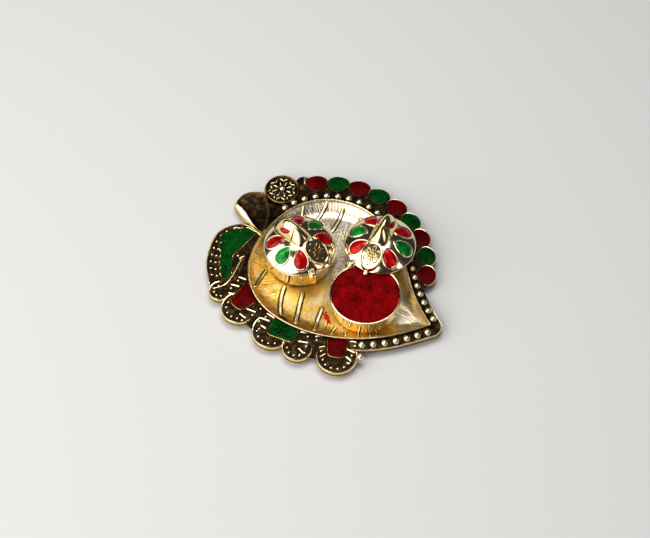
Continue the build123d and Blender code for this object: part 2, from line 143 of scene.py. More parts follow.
def bowl_height(reach):
    """Height of the bowl at a reach (below zero) from the ridge: flat, then rising by a power of the way
    out."""
    way = np.clip((bowl_width + np.asarray(reach)) / bowl_width, 0, 1)
    return floor_top + bowl_rise * way**bowl_hollow


def raised(line, height):
    """Plan points with a height, as points in space."""
    line = np.asarray(line, float)
    height = np.broadcast_to(np.asarray(height, float), line.shape[:-1])
    return np.concatenate([line, height[..., None]], axis=-1)


def cast(name, skins, finish, body, stands_for=(), sharp=40):
    """One mesh out of closed skins. A skin is (points, darkness): a grid of rows by columns, its columns
    closed round, with any number of like grids stacked in front. Quads join neighbours, doubled points are
    merged, faces are turned outwards, and darkness, from 0 on polished metal to 1 where shade is painted in
    hollows, under parts and on shaded sides, is kept per point."""
    all_points, all_dark, all_quads, all_uv, start = [], [], [], [], 0
    for points, dark in skins:
        points = np.asarray(points, float)
        rows, cols = points.shape[-3:-1]
        points = points.reshape(-1, rows, cols, 3)
        dark = np.broadcast_to(np.asarray(dark, float), points.shape[:-1])
        copies = np.arange(len(points))[:, None, None] * rows * cols
        i, j = np.meshgrid(np.arange(rows - 1), np.arange(cols), indexing="ij")
        ring = (j + 1) % cols
        near, far = i * cols, (i + 1) * cols
        corners = np.stack([near + j, near + ring, far + ring, far + j], axis=-1)
        all_quads.append((start + copies[..., None] + corners).reshape(-1, 4))
        uv = np.stack([
            np.stack([j, j + 1, j + 1, j], axis=-1) / cols,
            np.stack([i, i, i + 1, i + 1], axis=-1) / (rows - 1),
        ], axis=-1)
        all_uv.append(np.broadcast_to(uv, (len(points),) + uv.shape).reshape(-1, 4, 2))
        all_points.append(points.reshape(-1, 3))
        all_dark.append(dark.reshape(-1))
        start += points.size // 3
    points = np.concatenate(all_points) * MM
    quads = np.concatenate(all_quads)
    mesh = bpy.data.meshes.new(name)
    mesh.vertices.add(len(points))
    mesh.vertices.foreach_set("co", points.ravel())
    mesh.loops.add(quads.size)
    mesh.loops.foreach_set("vertex_index", quads.ravel().astype(np.int32))
    mesh.polygons.add(len(quads))
    mesh.polygons.foreach_set("loop_start", np.arange(0, quads.size, 4, dtype=np.int32))
    mesh.uv_layers.new(name="around").data.foreach_set("uv", np.concatenate(all_uv).ravel())
    mesh.attributes.new("dark", "FLOAT", "POINT").data.foreach_set("value", np.concatenate(all_dark))
    mesh.update(calc_edges=True)
    shaped = bmesh.new()
    shaped.from_mesh(mesh)
    bmesh.ops.remove_doubles(shaped, verts=shaped.verts, dist=2e-7)
    bmesh.ops.dissolve_degenerate(shaped, edges=shaped.edges, dist=1e-8)
    bmesh.ops.recalc_face_normals(shaped, faces=shaped.faces)
    shaped.to_mesh(mesh)
    shaped.free()
    mesh.shade_smooth()
    mesh.set_sharp_from_angle(angle=np.radians(sharp))
    piece = bpy.data.objects.new(name, mesh)
    bpy.context.scene.collection.objects.link(piece)
    mesh.materials.append(finish)
    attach(piece, body)
    if stands_for:
        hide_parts(*stands_for)


def tray_piece(name, skins, finish):
    """Piece of the tray's own casting: it rides on the base and stands for the CAD tray."""
    cast(name, skins, finish, "base", ["tray"])


def new_finish(name):
    """Empty material with its node tree and its main shader."""
    finish = bpy.data.materials.new(name)
    finish.use_nodes = True
    return finish, finish.node_tree, finish.node_tree.nodes["Principled BSDF"]


def speckle(tree, coordinate, scale, detail):
    """Noise of a scale and a detail, laid out by a coordinate's socket."""
    noise = tree.nodes.new("ShaderNodeTexNoise")
    noise.inputs["Scale"].default_value = scale
    noise.inputs["Detail"].default_value = detail
    tree.links.new(coordinate, noise.inputs["Vector"])
    return noise.outputs["Fac"]


def blended(tree, value, times, plus, clamp=False):
    """Result of value * times + plus, each of the three a socket or a number."""
    sums = tree.nodes.new("ShaderNodeMath")
    sums.operation = "MULTIPLY_ADD"
    sums.use_clamp = clamp
    for socket, part in zip(sums.inputs, (value, times, plus)):
        if isinstance(part, (int, float)):
            socket.default_value = part
        else:
            tree.links.new(part, socket)
    return sums.outputs[0]


def toned(tree, value, stops):
    """Colour that follows a value: a ramp through stops of a value and a colour."""
    ramp = tree.nodes.new("ShaderNodeValToRGB")
    marks = ramp.color_ramp.elements
    for mark, (place, colour) in zip(marks, (stops[0], stops[-1])):
        mark.position, mark.color = place, (*colour, 1)
    for place, colour in stops[1:-1]:
        marks.new(place).color = (*colour, 1)
    tree.links.new(value, ramp.inputs["Fac"])
    return ramp.outputs["Color"]


def grained(tree, shader, height, strength, depth):
    """Fine relief of a finish: a bump of a strength and a depth in metres that follows a height's socket."""
    bump = tree.nodes.new("ShaderNodeBump")
    bump.inputs["Strength"].default_value = strength
    bump.inputs["Distance"].default_value = depth
    tree.links.new(height, bump.inputs["Height"])
    tree.links.new(bump.outputs["Normal"], shader.inputs["Normal"])


def gold_finish(name, polish, grain_scale, grain_strength, brushed=False):
    """Gold plate over cast brass. The darkness of each point, spread by a fine noise, mixes bright gold with
    brown painted shade and tarnish and roughens it; a noise on the piece gives the grain. Where brushed, the
    grain is drawn out across the rim, and a larger noise mixes in paler, worn patches, most where the plate
    is bright."""
    finish, tree, shader = new_finish(name)
    link = tree.links.new
    where = tree.nodes.new("ShaderNodeTexCoord")
    on_piece = where.outputs["Object"]
    attribute = tree.nodes.new("ShaderNodeAttribute")
    attribute.attribute_name = "dark"
    dark = attribute.outputs["Fac"]
    spread = blended(tree, speckle(tree, on_piece, 420, 3), 0.9, -0.45)
    # Painted shade: the darkness darkens the plate in hollows, under parts and on shaded sides, mottled by a
    # noise as tarnish
    shade_and_tarnish = blended(tree, spread, dark, dark, clamp=True)
    plate = toned(tree, shade_and_tarnish, [
        (0.0, (0.93, 0.79, 0.52)), (0.2, (0.92, 0.64, 0.16)), (0.36, (0.72, 0.45, 0.07)),
        (0.5, (0.36, 0.21, 0.05)), (0.8, (0.085, 0.050, 0.018)), (1.0, (0.017, 0.010, 0.005)),
    ])
    grain_on, grain_depth = on_piece, 0.0002
    if brushed:
        drawn = tree.nodes.new("ShaderNodeMapping")
        drawn.inputs["Scale"].default_value = (260, 3, 1)
        link(where.outputs["UV"], drawn.inputs["Vector"])
        grain_on, grain_depth = drawn.outputs["Vector"], 0.0004
        worn = tree.nodes.new("ShaderNodeMapRange")
        worn.inputs["From Min"].default_value = 0.46
        worn.inputs["From Max"].default_value = 0.62
        worn.inputs["To Max"].default_value = 0.95
        link(speckle(tree, on_piece, 300, 3), worn.inputs["Value"])
        bright = blended(tree, dark, -1.5, 1.0, clamp=True)
        pale = tree.nodes.new("ShaderNodeMix")
        pale.data_type = "RGBA"
        pale.inputs["B"].default_value = (0.74, 0.69, 0.59, 1)
        link(blended(tree, worn.outputs["Result"], bright, 0.0), pale.inputs["Factor"])
        link(plate, pale.inputs["A"])
        plate = pale.outputs["Result"]
    link(plate, shader.inputs["Base Color"])
    tarnished = 0.5
    link(blended(tree, shade_and_tarnish, tarnished - polish, polish), shader.inputs["Roughness"])
    grained(tree, shader, speckle(tree, grain_on, grain_scale, 4), grain_strength, grain_depth)
    shader.inputs["Metallic"].default_value = 1.0
    return finish


brushed_gold = gold_finish("brushed_gold", 0.27, 1.0, 1.0, brushed=True)
polished_gold = gold_finish("polished_gold", 0.13, 160, 0.05)
dark_gold = gold_finish("dark_gold", 0.2, 700, 0.35)

# Each row: reach and height on the bead side, reach and height on the fans' side, darkness. The darkness is
# painted shade: down the ridge's outer side, in the channel, down the lip's outer side and under the dish.
rim_rows = np.array([
    (-0.40, 5.95, -0.40, 5.95, 0.0),
    (-0.22, 6.12, -0.22, 6.12, 0.0),
    (0.00, 6.20, 0.00, 6.20, 0.0),
    (0.16, 6.14, 0.16, 6.14, 0.15),
    (0.30, 5.96, 0.30, 5.96, 0.6),
    (0.45, 5.40, 0.45, 5.40, 0.9),
    (0.55, 4.60, 0.55, 4.60, 1.0),
    (0.85, 4.40, 0.85, 4.40, 1.0),
    (4.30, 4.40, 9.40, 4.36, 1.0),
    (4.62, 4.44, 9.80, 4.34, 0.9),
    (4.76, 4.62, 10.1, 4.30, 0.3),
    (4.90, 4.72, 10.3, 4.20, 0.0),
    (5.05, 4.74, 10.4, 4.00, 0.0),
    (5.20, 4.62, 10.5, 3.80, 0.0),
    (5.30, 4.35, 10.5, 3.60, 0.2),
    (5.30, 3.60, 10.5, 3.30, 0.7),
    (5.12, 3.35, 10.4, 3.10, 0.9),
    (5.28, 3.10, 10.5, 2.90, 0.7),
    (5.28, 2.45, 10.5, 2.45, 0.7),
    (5.10, 2.12, 10.3, 2.15, 0.7),
    (4.80, 2.00, 10.0, 2.00, 0.7),
    (-2.20, 2.00, -2.20, 2.00, 0.7),
    (-2.45, 1.80, -2.45, 1.80, 0.6),
    (-3.85, 0.15, -3.85, 0.15, 0.4),
    (-4.15, 0.00, -4.15, 0.00, 0.3),
])
fans_from, fans_to, fans_fade = 0.152, 0.560, 0.012
channel_top, lip_reach = 4.4, 4.0


def soft_step(value, low, high):
    """Smooth rise from 0 at low to 1 at high: 3 t squared less 2 t cubed."""
    t = np.clip((value - low) / (high - low), 0, 1)
    return t * t * (3 - 2 * t)


on_fans = soft_step(column_share, fans_from, fans_from + fans_fade)
on_fans = on_fans * (1 - soft_step(column_share, fans_to - fans_fade, fans_to))
floor_edge = dish_line(-bowl_width)
floor_hollow = 0.5
rings, shades = [], []


def bowl_shade(ring):
    """Painted light and shade on the plate in the bowl: pale towards the petals, deeper yellow towards the
    fans.
    """
    return 0.33 * soft_step(-ring[:, 1], -8.0, 12.0) + 0.1 * soft_step(-ring[:, 1], 12.0, 26.0)


for part in (0.0, 0.2, 0.45, 0.7, 0.88, 1.0):
    floor_line = dish_centre + part * (floor_edge - dish_centre)
    rings.append(raised(floor_line, floor_top + floor_hollow * (part**2 - 1)))
    shades.append(bowl_shade(rings[-1]))
for reach in np.linspace(-bowl_width, -0.6, 18)[1:]:
    rings.append(raised(dish_line(reach), bowl_height(reach)))
    shades.append(bowl_shade(rings[-1]))
# Share of the outer lip: whole below the tip, and faded out above it, where the petals take its place
lip = np.where(column_share < 0.5, 1.0, soft_step(column_share, 0.94, 0.985))
for bead_reach, bead_top, fan_reach, fan_top, darkness in rim_rows:
    line = dish_line(bead_reach) * (1 - on_fans)[:, None] + dish_line(fan_reach) * on_fans[:, None]
    on_lip = bead_reach > lip_reach and bead_top > channel_top
    top = channel_top + (bead_top - channel_top) * lip if on_lip else bead_top
    shade = 1 + (darkness - 1) * lip if on_lip else darkness
    rings.append(raised(line, top * (1 - on_fans) + fan_top * on_fans))
    shades.append(shade * (1 - on_fans) + (1.0 if fan_reach > lip_reach else darkness) * on_fans)
foot_edge = dish_line(rim_rows[-1, 0])
for part in (0.8, 0.5, 0.2, 0.0):
    rings.append(raised(dish_centre + part * (foot_edge - dish_centre), 0.0))
    shades.append(np.full(dish_columns, 0.3))
tray_piece("dish", [(np.array(rings), np.array(shades))], brushed_gold)

# Ribs of the bowl: raised ribs that run from the ridge towards the cups, part of the casting. Each is a
# half-round bar that follows the bowl's hollow, with painted shade along its foot.
rib_ends = np.array([
    ((-4.4, -29.6), (-15.4, -14.3)), ((-23.6, -25.8), (-27.3, -13.3)), ((2.5, -27.6), (-6.9, -11.6)),
    ((11.0, -25.0), (4.9, -11.6)), ((17.9, -21.4), (16.4, -16.4)), ((23.4, -18.2), (21.4, -15.6)),
    ((28.0, -14.9), (25.3, -11.2)), ((31.8, -11.6), (29.1, -7.4)), ((34.0, -9.8), (31.0, -5.5)),
    ((-29.8, 31.6), (-28.1, 21.6)), ((-22.4, 34.6), (-18.4, 20.9)), ((-12.6, 36.4), (-9.8, 24.0)),
    ((-36.6, 22.6), (-33.4, 15.4)),
])
rib_rise, rib_bow, longest_rib_bow = 0.6, 0.35, 1.2
rib_half_least, rib_half_growth, rib_length_least = 0.85, 0.035, 5.0


def bar_along(line, half_width, height, columns=8):
    """Half-round bar along a line of points in space: at each point a half ellipse across the line's own
    direction in plan, tapering to nothing at both ends by a square root."""
    count = len(line)
    along = np.gradient(line[:, :2], axis=0)
    along /= np.linalg.norm(along, axis=1, keepdims=True)
    across = np.stack([-along[:, 1], along[:, 0], np.zeros(count)], axis=1)
    taper = np.sqrt(np.clip(1 - np.linspace(-1, 1, count) ** 8, 0, 1))[:, None, None]
    angle = np.linspace(0, 2 * np.pi, columns, endpoint=False)
    out = across[:, None] * np.cos(angle)[None, :, None] * half_width
    up = np.array([0, 0, 1.0]) * np.sin(angle)[None, :, None] * height
    return line[:, None] + (out + up) * taper


rib_rows, rib_columns = 32, 32
rib_part = np.linspace(0, 1, rib_rows)[None, :, None]
rib_run = rib_ends[:, 1] - rib_ends[:, 0]
rib_lengths = np.linalg.norm(rib_run, axis=1)
rib_side = np.stack([-rib_run[:, 1], rib_run[:, 0]], axis=1) / rib_lengths[:, None]
rib_bows = np.where(rib_lengths == rib_lengths.max(), longest_rib_bow, rib_bow)[:, None, None]
rib_sway = rib_side[:, None] * rib_bows * np.sin(np.pi * rib_part)
rib_plans = rib_ends[:, :1] + rib_run[:, None] * rib_part + rib_sway
rib_reach = -np.linalg.norm(rib_plans[:, :, None] - ridge[None, None, ::10], axis=-1).min(axis=2)
rib_lines = raised(rib_plans, bowl_height(rib_reach))
rib_halves = rib_half_least + rib_half_growth * np.maximum(rib_lengths - rib_length_least, 0)
ribs = np.array([bar_along(line, half, rib_rise, rib_columns) for line, half in zip(rib_lines, rib_halves)])
# Painted shade on both flanks of a rib, from beside its crest down to its foot, fading towards its ends
rib_round = np.linspace(0, 2 * np.pi, rib_columns, endpoint=False)
rib_foot_shade = np.clip((0.93 - np.sin(rib_round)) / 0.06, 0, 0.8)
rib_shade = rib_foot_shade * (1 - np.linspace(-1, 1, rib_rows) ** 6)[:, None]
satin_gold = gold_finish("satin_gold", 0.26, 160, 0.03)
tray_piece("bowl_ribs", [(ribs, rib_shade)], satin_gold)

# Beads: a row of round beads in the channel, from the flower round the petals and the tip to the last fan.
# They belong to the casting and have a satin polish, with painted shade round their feet.
bead_radius = 1.6
bead_offset, lone_bead = 2.75, (35.4, -22.6)
bead_height = 4.85
bead_pitch = 4.8
beads_below_tip, beads_above_tip = 7, 23


def studs(places, turns, half_length, half_width, height, rows=9, columns=16):
    """Ellipsoids at places in space, turned in plan by turns (radians): a unit ball stretched along, across
    and up."""
    fall = np.linspace(0, np.pi, rows)[:, None]
    angle = np.linspace(0, 2 * np.pi, columns, endpoint=False)[None]
    along = np.sin(fall) * np.cos(angle) * half_length
    across = np.sin(fall) * np.sin(angle) * half_width
    up = np.cos(fall) * np.ones_like(angle) * height
    cos, sin = np.cos(turns)[:, None, None], np.sin(turns)[:, None, None]
    up = np.broadcast_to(up, (len(places),) + up.shape)
    ball = np.stack([along * cos - across * sin, along * sin + across * cos, up], axis=-1)
    return np.asarray(places)[:, None, None] + ball


bead_step = bead_pitch / ridge_length
bead_shares = np.concatenate([
    bead_step * (np.arange(beads_below_tip) + 0.5), 1 - bead_step * (np.arange(beads_above_tip) + 0.5),
])
bead_line = np.vstack([beside_ridge(bead_shares, bead_offset), lone_bead])
bead_places = raised(bead_line, bead_height)
bead_balls = studs(bead_places, np.zeros(len(bead_places)), bead_radius, bead_radius, bead_radius, 15, 28)
# Painted shade: each bead darkens towards its foot
bead_shade = np.clip((4.9 - bead_balls[..., 2]) / 0.5, 0, 1)
tray_piece("bead_row", [(bead_balls, bead_shade)], satin_gold)

# Petals of the border: nine scale-shaped cells of the casting, each with a polished rim, filled with red and
# green enamel by turns. The enamel is fired over grained metal and stands a little proud in the middle.
petal_count = 9
petal_distances = np.linspace(49.2, 43.2, petal_count)
petal_first, petal_pitch = 138.1, 10.3
petal_turns = np.degrees(petal_pitch / petal_distances[:-1])
petal_bearings = petal_first - np.concatenate(([0.0], np.cumsum(petal_turns)))
petal_outer, petal_inner, petal_half, petal_point = 4.5, 5.0, 5.55, 1.5
petal_columns = 64


def petal_outlines():
    """Scale shape of each petal: outwards half an ellipse, inwards a blunt point,
    |x/a|^n + |y/b|^n = 1 with n = petal_point."""
    angle = np.linspace(0, 2 * np.pi, petal_columns, endpoint=False)
    c, s = np.cos(angle), np.sin(angle)
    power = np.where(c > 0, 1.0, 2 / petal_point)
    out = np.where(c > 0, petal_outer, petal_inner) * np.sign(c) * np.abs(c) ** power
    side = petal_half * np.sign(s) * np.abs(s) ** np.where(c > 0, 1.0, power)
    turn = np.radians(petal_bearings)[:, None]
    centres = from_dish(petal_bearings, petal_distances)[:, None]
    cos, sin = np.cos(turn), np.sin(turn)
    plan = np.stack([out * cos - side * sin, out * sin + side * cos], axis=-1)
    return centres + plan, centres


def lobed(outline, centre, rows):
    """Skin over a plan outline: each row (inset, scale, height) shrinks the outline towards its centre by a
    scale and then by an inset in millimetres. Heights may differ along the outline."""
    arms = outline - centre
    lengths = np.linalg.norm(arms, axis=-1, keepdims=True)
    layers = []
    for inset, scale, height in rows:
        inset = np.broadcast_to(np.asarray(inset, float), lengths.shape[:-1])[..., None]
        layers.append(raised(centre + arms * scale * np.clip(1 - inset / lengths, 0, None), height))
    return np.stack(layers, axis=-3)


def enamel_finish(name, deep, bright, cells=1500):
    """Enamel over grained foil: the cells of a fine crystal pattern and a larger cloud mix a deep and a
    bright tone of the colour, and the cells give a fine relief."""
    finish, tree, shader = new_finish(name)
    link = tree.links.new
    on_piece = tree.nodes.new("ShaderNodeTexCoord").outputs["Object"]
    foil = tree.nodes.new("ShaderNodeTexVoronoi")
    foil.inputs["Scale"].default_value = cells
    link(on_piece, foil.inputs["Vector"])
    mixed = tree.nodes.new("ShaderNodeMix")
    mixed.data_type = "FLOAT"
    mixed.inputs["Factor"].default_value = 0.65
    link(foil.outputs["Color"], mixed.inputs["A"])
    link(speckle(tree, on_piece, 240, 4), mixed.inputs["B"])
    link(toned(tree, mixed.outputs["Result"], [(0.3, deep), (0.72, bright)]), shader.inputs["Base Color"])
    grained(tree, shader, foil.outputs["Distance"], 0.35, 0.0001)
    shader.inputs["Roughness"].default_value = 0.4
    shader.inputs["Specular IOR Level"].default_value = 0.02
    return finish


ruby_foil = enamel_finish("ruby_foil", (0.020, 0.0003, 0.0005), (0.155, 0.001, 0.0015))
emerald_foil = enamel_finish("emerald_foil", (0.0003, 0.005, 0.0008), (0.002, 0.085, 0.007))
petals, petal_centres = petal_outlines()
petal_rows = [
    (0.0, 0.0, 2.0), (0.5, 1, 2.0), (0.05, 1, 2.25), (0.0, 1, 4.7), (0.06, 1, 5.0), (0.2, 1, 5.18),
    (0.38, 1, 5.16), (0.48, 1, 4.95), (0.52, 1, 4.4), (0.0, 0.0, 4.4),
]
# Painted shade: the cells' sides and the inner slope of each rim down to the enamel are dark, and the inward
# half of each petal is painted dark too
petal_shade = np.array([0.7, 0.7, 0.7, 0.6, 0.1, 0.0, 0.0, 0.4, 0.8, 0.8])[:, None]
petal_angle = np.linspace(0, 2 * np.pi, petal_columns, endpoint=False)
petal_shade = np.maximum(petal_shade, 0.8 * soft_step(-np.cos(petal_angle), 0.0, 0.5))
tray_piece("petal_cells", [(lobed(petals, petal_centres, petal_rows), petal_shade)], polished_gold)
swell = np.array([0.96, 0.88, 0.75, 0.55, 0.3, 0.0])
petal_fill = [(0, 0, 4.42), (0.5, 1, 4.42), (0.5, 1, 4.95)]
petal_fill += [(0.5 * s, s, 4.95 + 0.45 * (1 - s * s)) for s in swell]
petal_enamel = lobed(petals, petal_centres, petal_fill)
cast("petal_enamel_red_fill", [(petal_enamel[0::2], 0)], ruby_foil,
     "base", ["petal_enamel_red"], 50)
cast("petal_enamel_green_fill", [(petal_enamel[1::2], 0)], emerald_foil,
     "base", ["petal_enamel_green"], 50)

# Ground behind the petals: the part of the casting between the bead channel and the petals, which joins
# them, the flower and the dish. It is uneven, and painted fully dark as the shade between the parts.
flower_centre = np.array([-50.4, 23.1])
ground_line = np.vstack([flower_centre, from_dish(petal_bearings, petal_distances - 0.5)])
ground_outer = smooth_line(ground_line, (0.35, 0.94), (0.8, -0.6), 120)
ground_inner = dish_centre + (ground_outer - dish_centre) * 0.86
ground_ring = [
    raised(ground_inner, 2.3), raised(ground_inner, 4.38),
    raised(ground_outer, 4.42), raised(ground_outer, 2.3),
]
ground_grid = np.stack(ground_ring, axis=1)
ends = [np.broadcast_to(ground_grid[i].mean(axis=0), (4, 3)) for i in (0, -1)]
ground_skin = np.concatenate([ends[:1], ground_grid, ends[1:]])
# Painted shade: the whole ground is fully dark
tray_piece("petal_ground", [(ground_skin, 1.0)], dark_gold)

# Flower beside the petals: a round boss of the casting, hollowed inside its rim, with a centre bead, eight
# straight rays and a star of short strokes round them, all polished. The boss's rim and hollow are painted
# dark, as shade.
flower_radius = 8.2
flower_rays = 8
ray_start, ray_ring = 0.2, 3.5
stroke_swing, stroke_lean, stroke_ring = 0.21, 2.35, 5.55


def flower_boss(columns=160):
    """Boss: rings of a circle with a rounded rim round a shallow hollow that rises again to the middle."""
    angle = np.linspace(0, 2 * np.pi, columns, endpoint=False)
    outline = flower_centre + flower_radius * np.stack([np.cos(angle), np.sin(angle)], axis=1)
    rows = [
        (0, 0, 2.0), (0.6, 1, 2.0), (0.0, 1, 2.4), (0.0, 1, 5.0),
        (0.15, 1, 5.4), (0.5, 1, 5.6), (0.85, 1, 5.4), (1.1, 1, 5.0),
    ]
    rows += [(0, 0.8, 4.8), (0, 0.6, 4.85), (0, 0.4, 5.0), (0, 0.2, 5.2), (0, 0, 5.3)]
    # Painted shade: the boss's sides and rim dark, the hollow fully dark
    dark = [0.8, 0.8, 0.8, 0.8, 0.7, 0.55, 0.75] + [1.0] * 6
    return lobed(outline, flower_centre, rows), np.array(dark)[:, None]


ray_turns = np.arange(flower_rays) * 2 * np.pi / flower_rays + ray_start
ray_ways = np.stack([np.cos(ray_turns), np.sin(ray_turns)], axis=1)
stroke_turns = np.concatenate([ray_turns + stroke_swing, ray_turns - stroke_swing])
stroke_ways = np.stack([np.cos(stroke_turns), np.sin(stroke_turns)], axis=1)
stroke_places = flower_centre + stroke_ring * stroke_ways
stroke_leans = stroke_turns + np.repeat([stroke_lean, -stroke_lean], flower_rays)
flower_bars = studs(raised(flower_centre + ray_ring * ray_ways, 5.25), ray_turns, 1.35, 0.4, 0.55, 9, 16)
flower_strokes = studs(raised(stroke_places, 5.1), stroke_leans, 1.35, 0.36, 0.55, 9, 16)
flower_bead = studs(raised(flower_centre[None], 5.6), np.zeros(1), 1.35, 1.35, 1.2, 13, 24)
flower_skins = [flower_boss(), (flower_bars, 0.0), (flower_strokes, 0.0), (flower_bead, 0.0)]
tray_piece("flower", flower_skins, polished_gold)

# Bud between the flower and the first petal: a small rounded lobe, cast in one with the border and gold
# plated. It is dark, with one raised stroke that is polished bright.
bud_centre = np.array([-45.4, 32.2])
bud_turn = np.array([2.2])
bud = studs(raised(bud_centre[None], 3.4), bud_turn, 5.0, 4.0, 1.7, 15, 40)
bud = np.concatenate([bud[..., :2], np.maximum(bud[..., 2:], 2.0)], axis=-1)
bud_stroke = studs(raised(bud_centre[None] + (-0.4, 1.6), 4.9), bud_turn, 2.2, 0.5, 0.8, 9, 16)
tray_piece("bud", [(bud, 1.0), (bud_stroke, 0.0)], polished_gold)

# Plain petal beside the flower: a smooth hollow petal, cast in one with the border and gold plated. Its
# raised edge is polished, and broad towards the leaf; its hollow is painted dark as shade, and its edge is
# painted darker towards the back, as shade.
plain_tip = np.array([-39.4, -2.6])
plain_low = smooth_line([plain_tip, (-50.4, -1.6), (-61.2, 1.4)], (-1, 0.02), (-0.94, 0.34), 40)
plain_end = smooth_line([(-61.2, 1.4), (-61.6, 9.6), (-55.4, 15.9)], (-0.3, 0.95), (0.85, 0.5), 32)
plain_high = smooth_line([(-55.4, 15.9), (-44.6, 8.2), plain_tip], (0.85, -0.5), (0.45, -0.9), 40)
plain_outline = np.vstack([plain_low[:-1], plain_end[:-1], plain_high[:-1]])
plain_middle = np.array([-53.0, 5.6])
bevel = 2.0 * soft_step(-plain_outline[:, 1], -5.0, 1.0) * soft_step(-plain_outline[:, 0], 42.0, 54.0)
plain_rows = [
    (0, 0, 2.0), (0.5, 1, 2.0), (0.0, 1, 2.4), (0.0, 1, 5.4 - 0.7 * bevel),
    (0.2 + 0.15 * bevel, 1, 5.9 - 0.5 * bevel), (0.4 + 0.6 * bevel, 1, 6.3 - 0.12 * bevel),
    (0.6 + bevel, 1, 6.45), (0.85 + bevel, 1, 6.4), (1.1 + bevel, 1, 6.1),
]
plain_rows += [((1.1 + bevel) * s, s, 4.9 + 1.2 * s**2.6) for s in (0.92, 0.8, 0.64, 0.45, 0.25, 0.1, 0.0)]
# Painted shade: sides and hollow dark, and the whole petal darker towards the back
plain_shade = np.array([0.6, 0.6, 0.6, 0.4, 0.0, 0.0, 0.0, 0.2, 0.7, 0.92] + [0.96] * 6)[:, None]
plain_shade = np.maximum(plain_shade, 0.65 * soft_step(plain_outline[:, 1], 2.0, 6.0)[None])
plain_skin = lobed(plain_outline, plain_middle, plain_rows)
tray_piece("plain_petal", [(plain_skin, plain_shade)], polished_gold)

# Leaf at the round end: a plate of the casting with a rolled outer edge, a double row of fine dots along it,
# and a green enamel leaf with a wavy edge, bounded by a thin raised line.
band_outer = smooth_line(
    [plain_tip, (-49.4, -2.4), (-54.8, -8.0), (-56.6, -14.0), (-54.6, -21.4), (-47.4, -32.0), (-38.4, -39.2)],
    (-1.0, 0.1), (0.75, -0.65), 120,
)
band_inner = smooth_line(
    [(-38.4, -39.2), (-33.2, -29.5), (-38.2, -14.5), plain_tip], (0.6, 0.8), (-0.1, 1.0), 80,
)
band_outline = np.vstack([band_outer[:-1], band_inner[:-1]])
band_middle = np.array([-45.0, -18.0])
band_edge = np.repeat([1.0, 0.0], [len(band_outer) - 1, len(band_inner) - 1])
band_edge = np.mean([np.roll(band_edge, k) for k in range(-5, 6)], axis=0)
band_rows = [
    (0, 0, 2.0), (0.6, 1, 2.0), (0.0, 1, 2.4), (0.25, 1, 2.9), (0.0, 1, 3.4), (0.0, 1, 4.4),
    (0.1, 1, 4.45 + 0.4 * band_edge), (0.3, 1, 4.45 + 0.6 * band_edge),
    (0.55, 1, 4.45 + 0.6 * band_edge), (0.75, 1, 4.45 + 0.35 * band_edge),
    (0.9, 1, 4.45), (0.0, 0.6, 4.5), (0.0, 0.3, 4.5), (0.0, 0.0, 4.5),
]
band_dark = np.array([0.7, 0.6, 0.35, 0.95, 0.6, 0.4, 0.1, 0.0, 0.0, 0.5, 1.0, 1.0, 1.0, 1.0])[:, None]
band_shade = np.maximum(band_dark, (1 - band_edge)[None] * 0.9)
band_skin = lobed(band_outline, band_middle, band_rows)
tray_piece("leaf_band", [(band_skin, band_shade)], dark_gold)


def inside_line(line, inset):
    """Points of a line moved to its left-hand side (inwards here) by inset."""
    along = np.gradient(line, axis=0)
    along /= np.linalg.norm(along, axis=1, keepdims=True)
    return line + np.stack([-along[:, 1], along[:, 0]], axis=1) * inset


dot_radius, dot_pitch, plate_top = 0.62, 3.7, 4.5


def round_dots(places):
    """Fine round dots at plan places: balls half sunk in the plate."""
    return studs(raised(places, plate_top), np.zeros(len(places)), dot_radius, dot_radius, dot_radius, 9, 14)


dot_rows = []
for inset, first in ((2.2, 24), (4.3, 27)):
    row = inside_line(band_outer, inset)[first:-8]
    steps = np.concatenate(([0], np.cumsum(np.linalg.norm(np.diff(row, axis=0), axis=1))))
    at = np.arange(0.5, steps[-1], dot_pitch)
    dot_rows.append(np.stack([np.interp(at, steps, row[:, i]) for i in (0, 1)], axis=1))
dots = round_dots(np.vstack(dot_rows))
# Painted shade: each dot darkens towards its foot
dot_shade = np.clip((4.75 - dots[..., 2]) / 0.3, 0, 1)
tray_piece("band_dots", [(dots, dot_shade)], polished_gold)

leaf_tip = np.array([-42.6, -2.6])
leaf_outer = smooth_line(
    [leaf_tip, (-48.8, -4.4), (-53.4, -9.8), (-53.8, -15.2), (-49.4, -20.6), (-43.4, -27.2), (-36.8, -32.6)],
    (-1.0, -0.05), (0.8, -0.5), 90,
)
leaf_inner = smooth_line(
    [(-36.8, -32.6), (-36.4, -27.0), (-41.8, -21.2), (-42.6, -13.0), leaf_tip], (0.5, 0.8), (0.1, 1.0), 90,
)
leaf_part = np.linspace(0, np.pi, len(leaf_outer))[:, None]
wave = 0.55 * np.sin(13 * leaf_part) * np.sin(leaf_part) ** 0.5
leaf_outer = leaf_outer + wave * (inside_line(leaf_outer, 1.0) - leaf_outer)
leaf_outline = np.vstack([leaf_outer[:-1], leaf_inner[:-1]])
leaf_middle = np.array([-47.6, -14.0])
leaf_fill = [(0, 0, 4.3), (0.0, 1, 4.3), (0.0, 1, 4.75)]
leaf_fill += [(0.0, s, 4.75 + 0.6 * (1 - s**3)) for s in (0.97, 0.9, 0.8, 0.65, 0.45, 0.2, 0.0)]
leaf_skin = lobed(leaf_outline, leaf_middle, leaf_fill)
cast("leaf_enamel_fill", [(leaf_skin, 0)], emerald_foil, "base", ["leaf_enamel_green"], 50)
leaf_wall = raised(np.vstack([leaf_outline, leaf_outline[:1]]), 4.6)
stem = smooth_line(
    [(-38.6, -16.5), (-36.4, -24), (-34.6, -30), (-35, -35), (-37.4, -38.4)], (0.2, -1.0), (-0.6, -0.8), 48,
)
